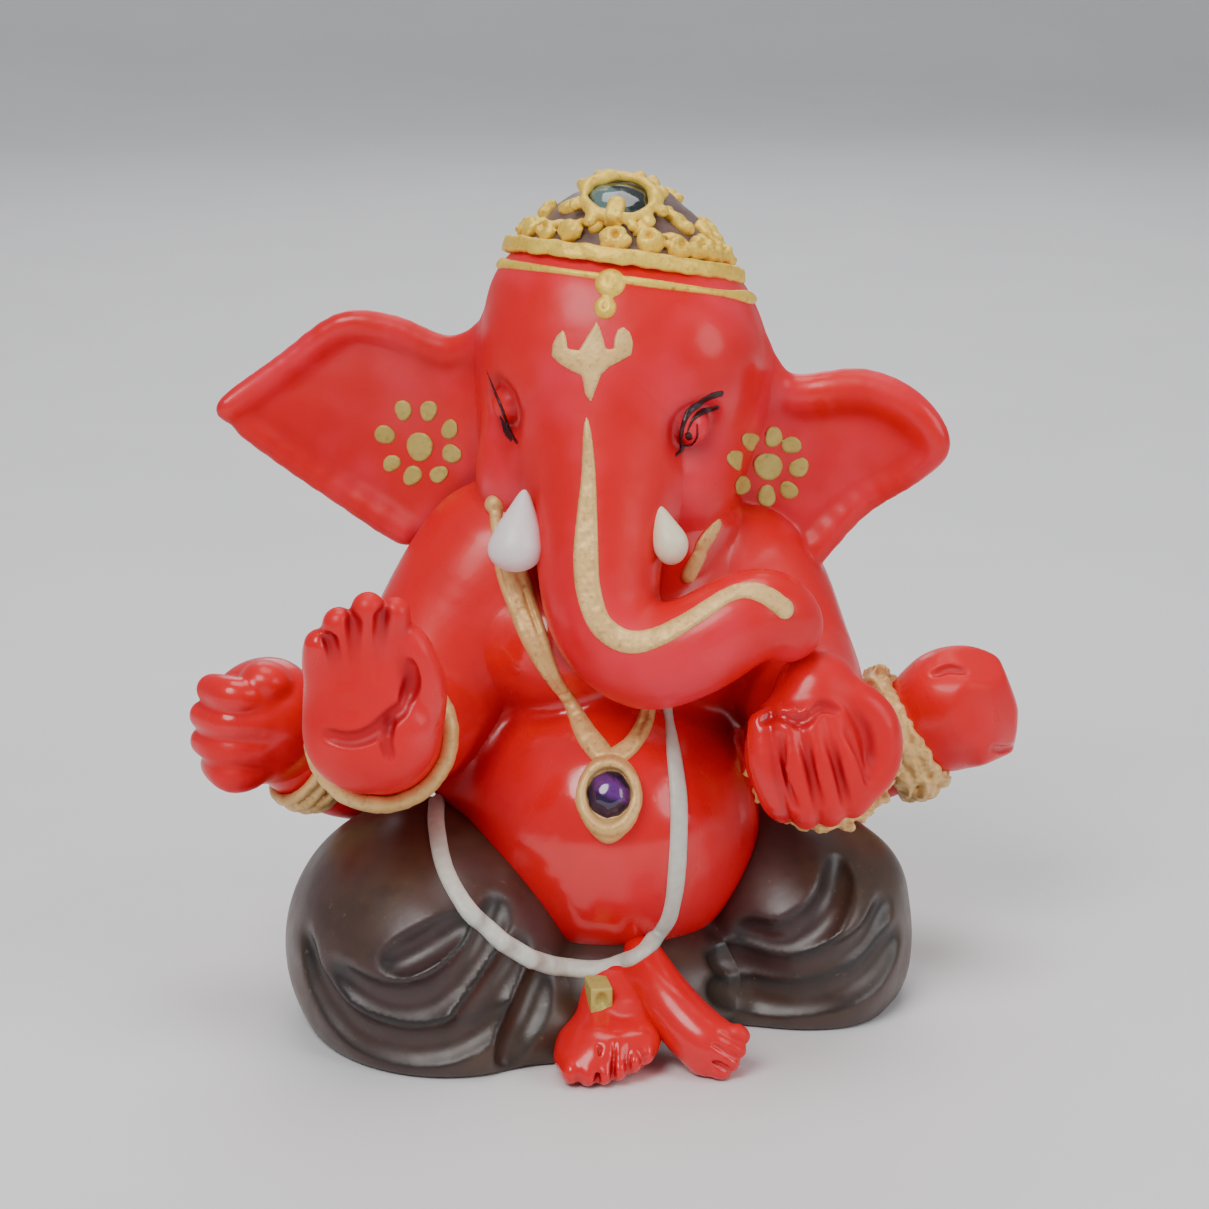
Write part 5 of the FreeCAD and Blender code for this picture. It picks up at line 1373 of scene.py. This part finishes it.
profile = np.array(CAP_LINE + [(-1.0, 0.0), (-1.0, 9.3)])


def cap_far(x, y, z):
    r = np.sqrt(x * x + y * y)
    r, z = np.broadcast_arrays(r, z)
    return outline_far(r, z, profile)


low_corner = CROWN.out((0, 0, 4)) - 17
cap = Clay(low_corner, low_corner + 34, STEP * 0.8)
cap.put(Form(cap_far, (-13, -13, -3), (13, 13, 10), CROWN))
cap.roughen((0.10, 5.0, 2))
skin("cap", "crown_cap", cap, CAP)

top = Clay(low_corner, low_corner + 34, FINE * 1.25)
band = top.like()


def band_far(x, y, z):
    r = np.sqrt(x * x + y * y)
    a = np.abs(r - 11.9 + 0.15 * z) - 0.55
    b = np.abs(z - 0.75) - 0.65
    return soft_max(a, b, 0.4) - 0.15


band.put(Form(band_far, (-13.6, -13.6, -1), (13.6, 13.6, 3), CROWN))
band.roughen((0.10, 2.4, 21), (0.05, 1.1, 22))
lace = top.like()
rng = np.random.RandomState(12)
holes = []
BEADS = [  # round the cap: degrees from the front and a size
    (-76, 1.3), (-60, 1.35), (-43, 1.35), (-26, 1.5), (0, 1.65), (19.5, 1.6), (36, 1.5), (49, 1.3),
    (60, 1.4), (71, 1.3), (84, 1.35), (98, 1.3), (113, 1.35), (128, 1.3), (143, 1.35), (158, 1.3),
    (173, 1.35), (188, 1.3), (203, 1.35), (218, 1.3), (233, 1.35), (248, 1.3), (262, 1.3), (273, 1.25),
]
for angle, size in BEADS:
    h = 2.3 + rng.uniform(-0.2, 0.25)
    spot = on_cap(angle, h, 0.35)
    lace.put(egg(spot, (size * 0.95, 0.7, size * 0.86), CROWN, turn("Z", angle)), blend=0.5)
    tip = on_cap(angle + rng.uniform(-4, 4), h + size * 0.75, 0.15)
    lace.put(egg(tip, (0.75, 0.7, 0.6), CROWN), blend=0.4)
    if rng.rand() < 0.85:
        holes.append(egg(on_cap(angle + rng.uniform(-2, 2), h + 0.25, 0.95), (0.42, 0.8, 0.42), CROWN))
SCROLLS = [  # runs of gold on the cap: degrees round, height, thickness
    [(-46, 4.6, 0.55), (-39, 5.2, 0.65), (-32, 5.8, 0.55)],
    [(-38, 7.3, 0.55), (-30, 7.9, 0.65)],
    [(50, 4.3, 0.6), (42, 5.0, 0.7), (36, 5.8, 0.6)],
    [(44, 7.4, 0.45), (32, 8.2, 0.5)],
    [(40, 8.8, 0.45), (80, 9.1, 0.45)],
    [(-14, 3.2, 0.7), (-11, 4.4, 0.6)],
    [(13, 3.4, 0.6), (15, 4.6, 0.6)],
    [(70, 3.8, 0.7), (66, 5.0, 0.6)],
    [(-66, 3.9, 0.6), (-70, 5.0, 0.55)],
    [(100, 4.0, 0.75), (112, 5.4, 0.8), (124, 4.4, 0.7)],
    [(150, 4.2, 0.75), (164, 5.8, 0.85), (180, 4.6, 0.7)],
    [(205, 4.2, 0.75), (219, 5.8, 0.85), (234, 4.4, 0.7)],
    [(120, 7.6, 0.7), (160, 8.2, 0.75), (200, 7.8, 0.7)],
]
for run in SCROLLS:
    points = [(*on_cap(angle, h, 0.2), r) for angle, h, r in run]
    lace.put(limb(points, CROWN, blend=0.3, count=6), blend=0.5)
lace.roughen((0.16, 1.7, 23), (0.07, 0.9, 24))
for hole in holes:
    lace.cut(hole, blend=0.3)

# the medallion: a ring round a streaked stone, with a small arch at its foot
medal_out = np.array((0.0, -0.66, 0.751))
MEDAL = Place(CROWN.out((-0.5, -7.1, 6.45)), CROWN.rotation @ np.stack(
    [np.array((1.0, 0, 0)), np.cross(medal_out, (1.0, 0, 0)), medal_out], axis=1))
hoop_clay = top.like()
for k in range(36):
    a, b = 2 * math.pi * k / 36, 2 * math.pi * (k + 1) / 36
    start, end = ((3.62 * math.cos(t), 3.3 * math.sin(t), 0.35) for t in (a, b))
    ra, rb = (0.56 + 0.12 * math.sin(3 * t + 1) + 0.07 * math.sin(7 * t) for t in (a, b))
    hoop_clay.put(rod(start, end, ra, rb, MEDAL), blend=0.2)
KNOBS = [
    (0.5, 0.75), (0.9, 0.8), (1.3, 0.85), (2.2, 0.6), (2.7, 0.7), (-0.2, 0.7), (-0.7, 0.7), (3.5, 0.7),
    (4.2, 0.7), (5.2, 0.6),
]
for a, r in KNOBS:  # round the ring: an angle in radians and a size
    hoop_clay.put(egg((4.5 * math.cos(a), 4.2 * math.sin(a), -0.1), (r, r, 0.6), MEDAL), blend=0.4)
hoop_clay.roughen((0.12, 1.6, 31))
arch_form = Form(
    lambda x, y, z: soft_max(np.maximum(np.abs(x) - 0.8, np.sqrt(x * x + (y + 1.6) ** 2 * (y > -1.6)) - 0.8),
                             np.maximum(np.abs(z - 0.3) - 0.8, np.abs(y + 2.2) - 1.7), 0.3) - 0.1,
    (-1.3, -4.2, -0.6), (1.3, 0.2, 1.8), MEDAL)
arch_clay = top.like()
arch_clay.put(arch_form)
arch_clay.put(egg((0, -1.6, 0.9), (0.7, 0.7, 0.5), MEDAL), blend=0.2)
arch_clay.cut(egg((0.1, -2.2, 1.4), (0.25, 0.4, 0.28), MEDAL), blend=0.2)
crown_parts = {"crown_band": band, "crown_scrolls": lace, "crown_medallion_ring": hoop_clay,
               "crown_keystone": arch_clay}
for name, clay in crown_parts.items():
    others = [other.values for key, other in crown_parts.items() if key != name]
    rest = np.minimum.reduce(others)
    clay_values = np.maximum(clay.values, (clay.values - rest) * 0.5 - 0.3)
    skin(f"{name}_gold", name, clay, BRIGHT, clay_values)
gem_clay = Clay(MEDAL.out((0, 0, 0)) - 5, MEDAL.out((0, 0, 0)) + 5, FINE)
gem_clay.put(egg((0, 0, -0.5), (3.4, 3.1, 1.25), MEDAL))
gem_clay.roughen((0.05, 2.0, 41))
skin("crown_stone_oval", "crown_gem", gem_clay, STONE)

# the fine cord round the brow, and the two drops under it
cord_rows = []
for angle in np.linspace(-180, 180, 73):
    a = math.radians(angle)
    centre_far = CROWN.out((0, 0, -1.35 - 0.15 * math.cos(a)))
    way = CROWN.rotation @ np.array((math.sin(a), -math.cos(a), 0.0))
    spot = red.drop(centre_far + way * 22.0, -way, reach=20.0)
    thick = 0.42 + 0.06 * math.sin(5 * a) + 0.3 * math.exp(-((angle - 76) / 16) ** 2)
    cord_rows.append((*spot, thick + 0.25 * math.exp(-((angle + 78) / 14) ** 2)))
cord_rows = np.array(cord_rows)
ribbon("brow_cord_line", "brow_cord", FINE, red, [cord_rows], 0.42, BRIGHT, edge=0.25, lumps=0.06)
flat = pressed("brow_drops", (-3.24, -7.70, 76.16))
drops = None
for a, b, r in ((0.6, 31.7, 1.55), (0.1, 29.2, 1.15)):
    at = laid(red, flat, a, b)
    out = red.slope(at[None])[0]
    if drops is None:
        drops = Clay(at - 4.5, at + 4.5, FINE * 0.9)
    across = np.cross((0, 0, 1.0), out)
    across /= np.linalg.norm(across)
    stand = Place(at, np.stack([across, np.cross(out, across), out], axis=1))
    drops.put(egg((0, 0, -0.1), (r, r * 1.02, 0.75), stand), blend=0.15)
    drops.cut(egg((0.02, 0.1, 0.85), (0.34, 0.5, 0.45), stand), blend=0.25)
skin("brow_beads", "brow_drops", drops, BRIGHT)


# ---- floor, light and camera -------------------------------------------------------------------
def plain_floor():
    """A pale sheet that runs back and then rises in a soft bend."""
    half_wide, front, back, bend_radius, top = 1600.0, -700.0, 700.0, 400.0, 1500.0
    profile = [(front, 0.0)]
    for a in np.linspace(0, math.pi / 2, 24):
        profile.append((back + bend_radius * math.sin(a), bend_radius - bend_radius * math.cos(a)))
    profile.append((back + bend_radius, top))
    points = np.array([(x, y, z) for y, z in profile for x in (-half_wide, half_wide)]) + FOOT
    quads = [(2 * i, 2 * i + 1, 2 * i + 3, 2 * i + 2) for i in range(len(profile) - 1)]
    mesh = bpy.data.meshes.new("floor")
    mesh.from_pydata([tuple(p * MM) for p in points], [], quads)
    mesh.polygons.foreach_set("use_smooth", [True] * len(mesh.polygons))
    sheet = bpy.data.objects.new("floor", mesh)
    bpy.context.scene.collection.objects.link(sheet)
    p = Paint("floor_white")
    tone = p.mix(p.span(p.noise(40.0, 3.0), 0.35, 0.65), (0.83, 0.83, 0.84), (0.86, 0.86, 0.87))
    mesh.materials.append(p.finish(
        Base_Color=tone, Roughness=p.span(p.noise(5.0, 3.0), 0.3, 0.7, 0.55, 0.65),
        Normal=p.bump(p.noise(1.2, 3.0), 0.01, 0.2),
    ))
    sheet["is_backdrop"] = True


def lamp(name, place, aim, size, power, tone=(1.0, 1.0, 1.0)):
    data = bpy.data.lights.new(name, "AREA")
    data.shape, data.size, data.energy, data.color = "DISK", size, power, tone
    lamp_object = bpy.data.objects.new(name, data)
    lamp_object.location = Vector(place)
    lamp_object.rotation_euler = (Vector(aim) - Vector(place)).to_track_quat("-Z", "Y").to_euler()
    bpy.context.scene.collection.objects.link(lamp_object)


plain_floor()
centre = FOOT * MM + np.array([0.0, 0.0, 0.04])
lamp("key_light", centre + np.array([-0.28, -0.34, 0.46]), centre, 0.34, 2.6, (1.0, 0.99, 0.97))
lamp("fill_light", centre + np.array([0.45, -0.36, 0.26]), centre, 0.40, 1.3)
lamp("top_light", centre + np.array([0.05, 0.10, 0.62]), centre, 0.40, 1.6)
lamp("back_light", centre + np.array([0.10, 0.55, 0.35]), centre, 0.45, 0.9)
world = bpy.data.worlds.new("studio")
world.use_nodes = True
world.node_tree.nodes["Background"].inputs["Color"].default_value = (0.92, 0.94, 1.0, 1.0)
world.node_tree.nodes["Background"].inputs["Strength"].default_value = 0.30
bpy.context.scene.world = world

camera_data = bpy.data.cameras.new("camera")
camera_data.sensor_width = 36.0
camera_data.lens = 101.84
camera_data.clip_start, camera_data.clip_end = 0.01, 20.0
camera = bpy.data.objects.new("camera", camera_data)
target = (FOOT + VIEW_CENTRE) * MM
azimuth, elevation, away = math.radians(VIEW_AZIMUTH), math.radians(VIEW_ELEVATION), 0.360
camera.location = Vector(target + away * np.array([
    math.sin(azimuth) * math.cos(elevation), -math.cos(azimuth) * math.cos(elevation), math.sin(elevation)]))
camera.rotation_euler = (Vector(target) - camera.location).to_track_quat("-Z", "Y").to_euler()
bpy.context.scene.collection.objects.link(camera)
bpy.context.scene.camera = camera

low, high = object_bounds()
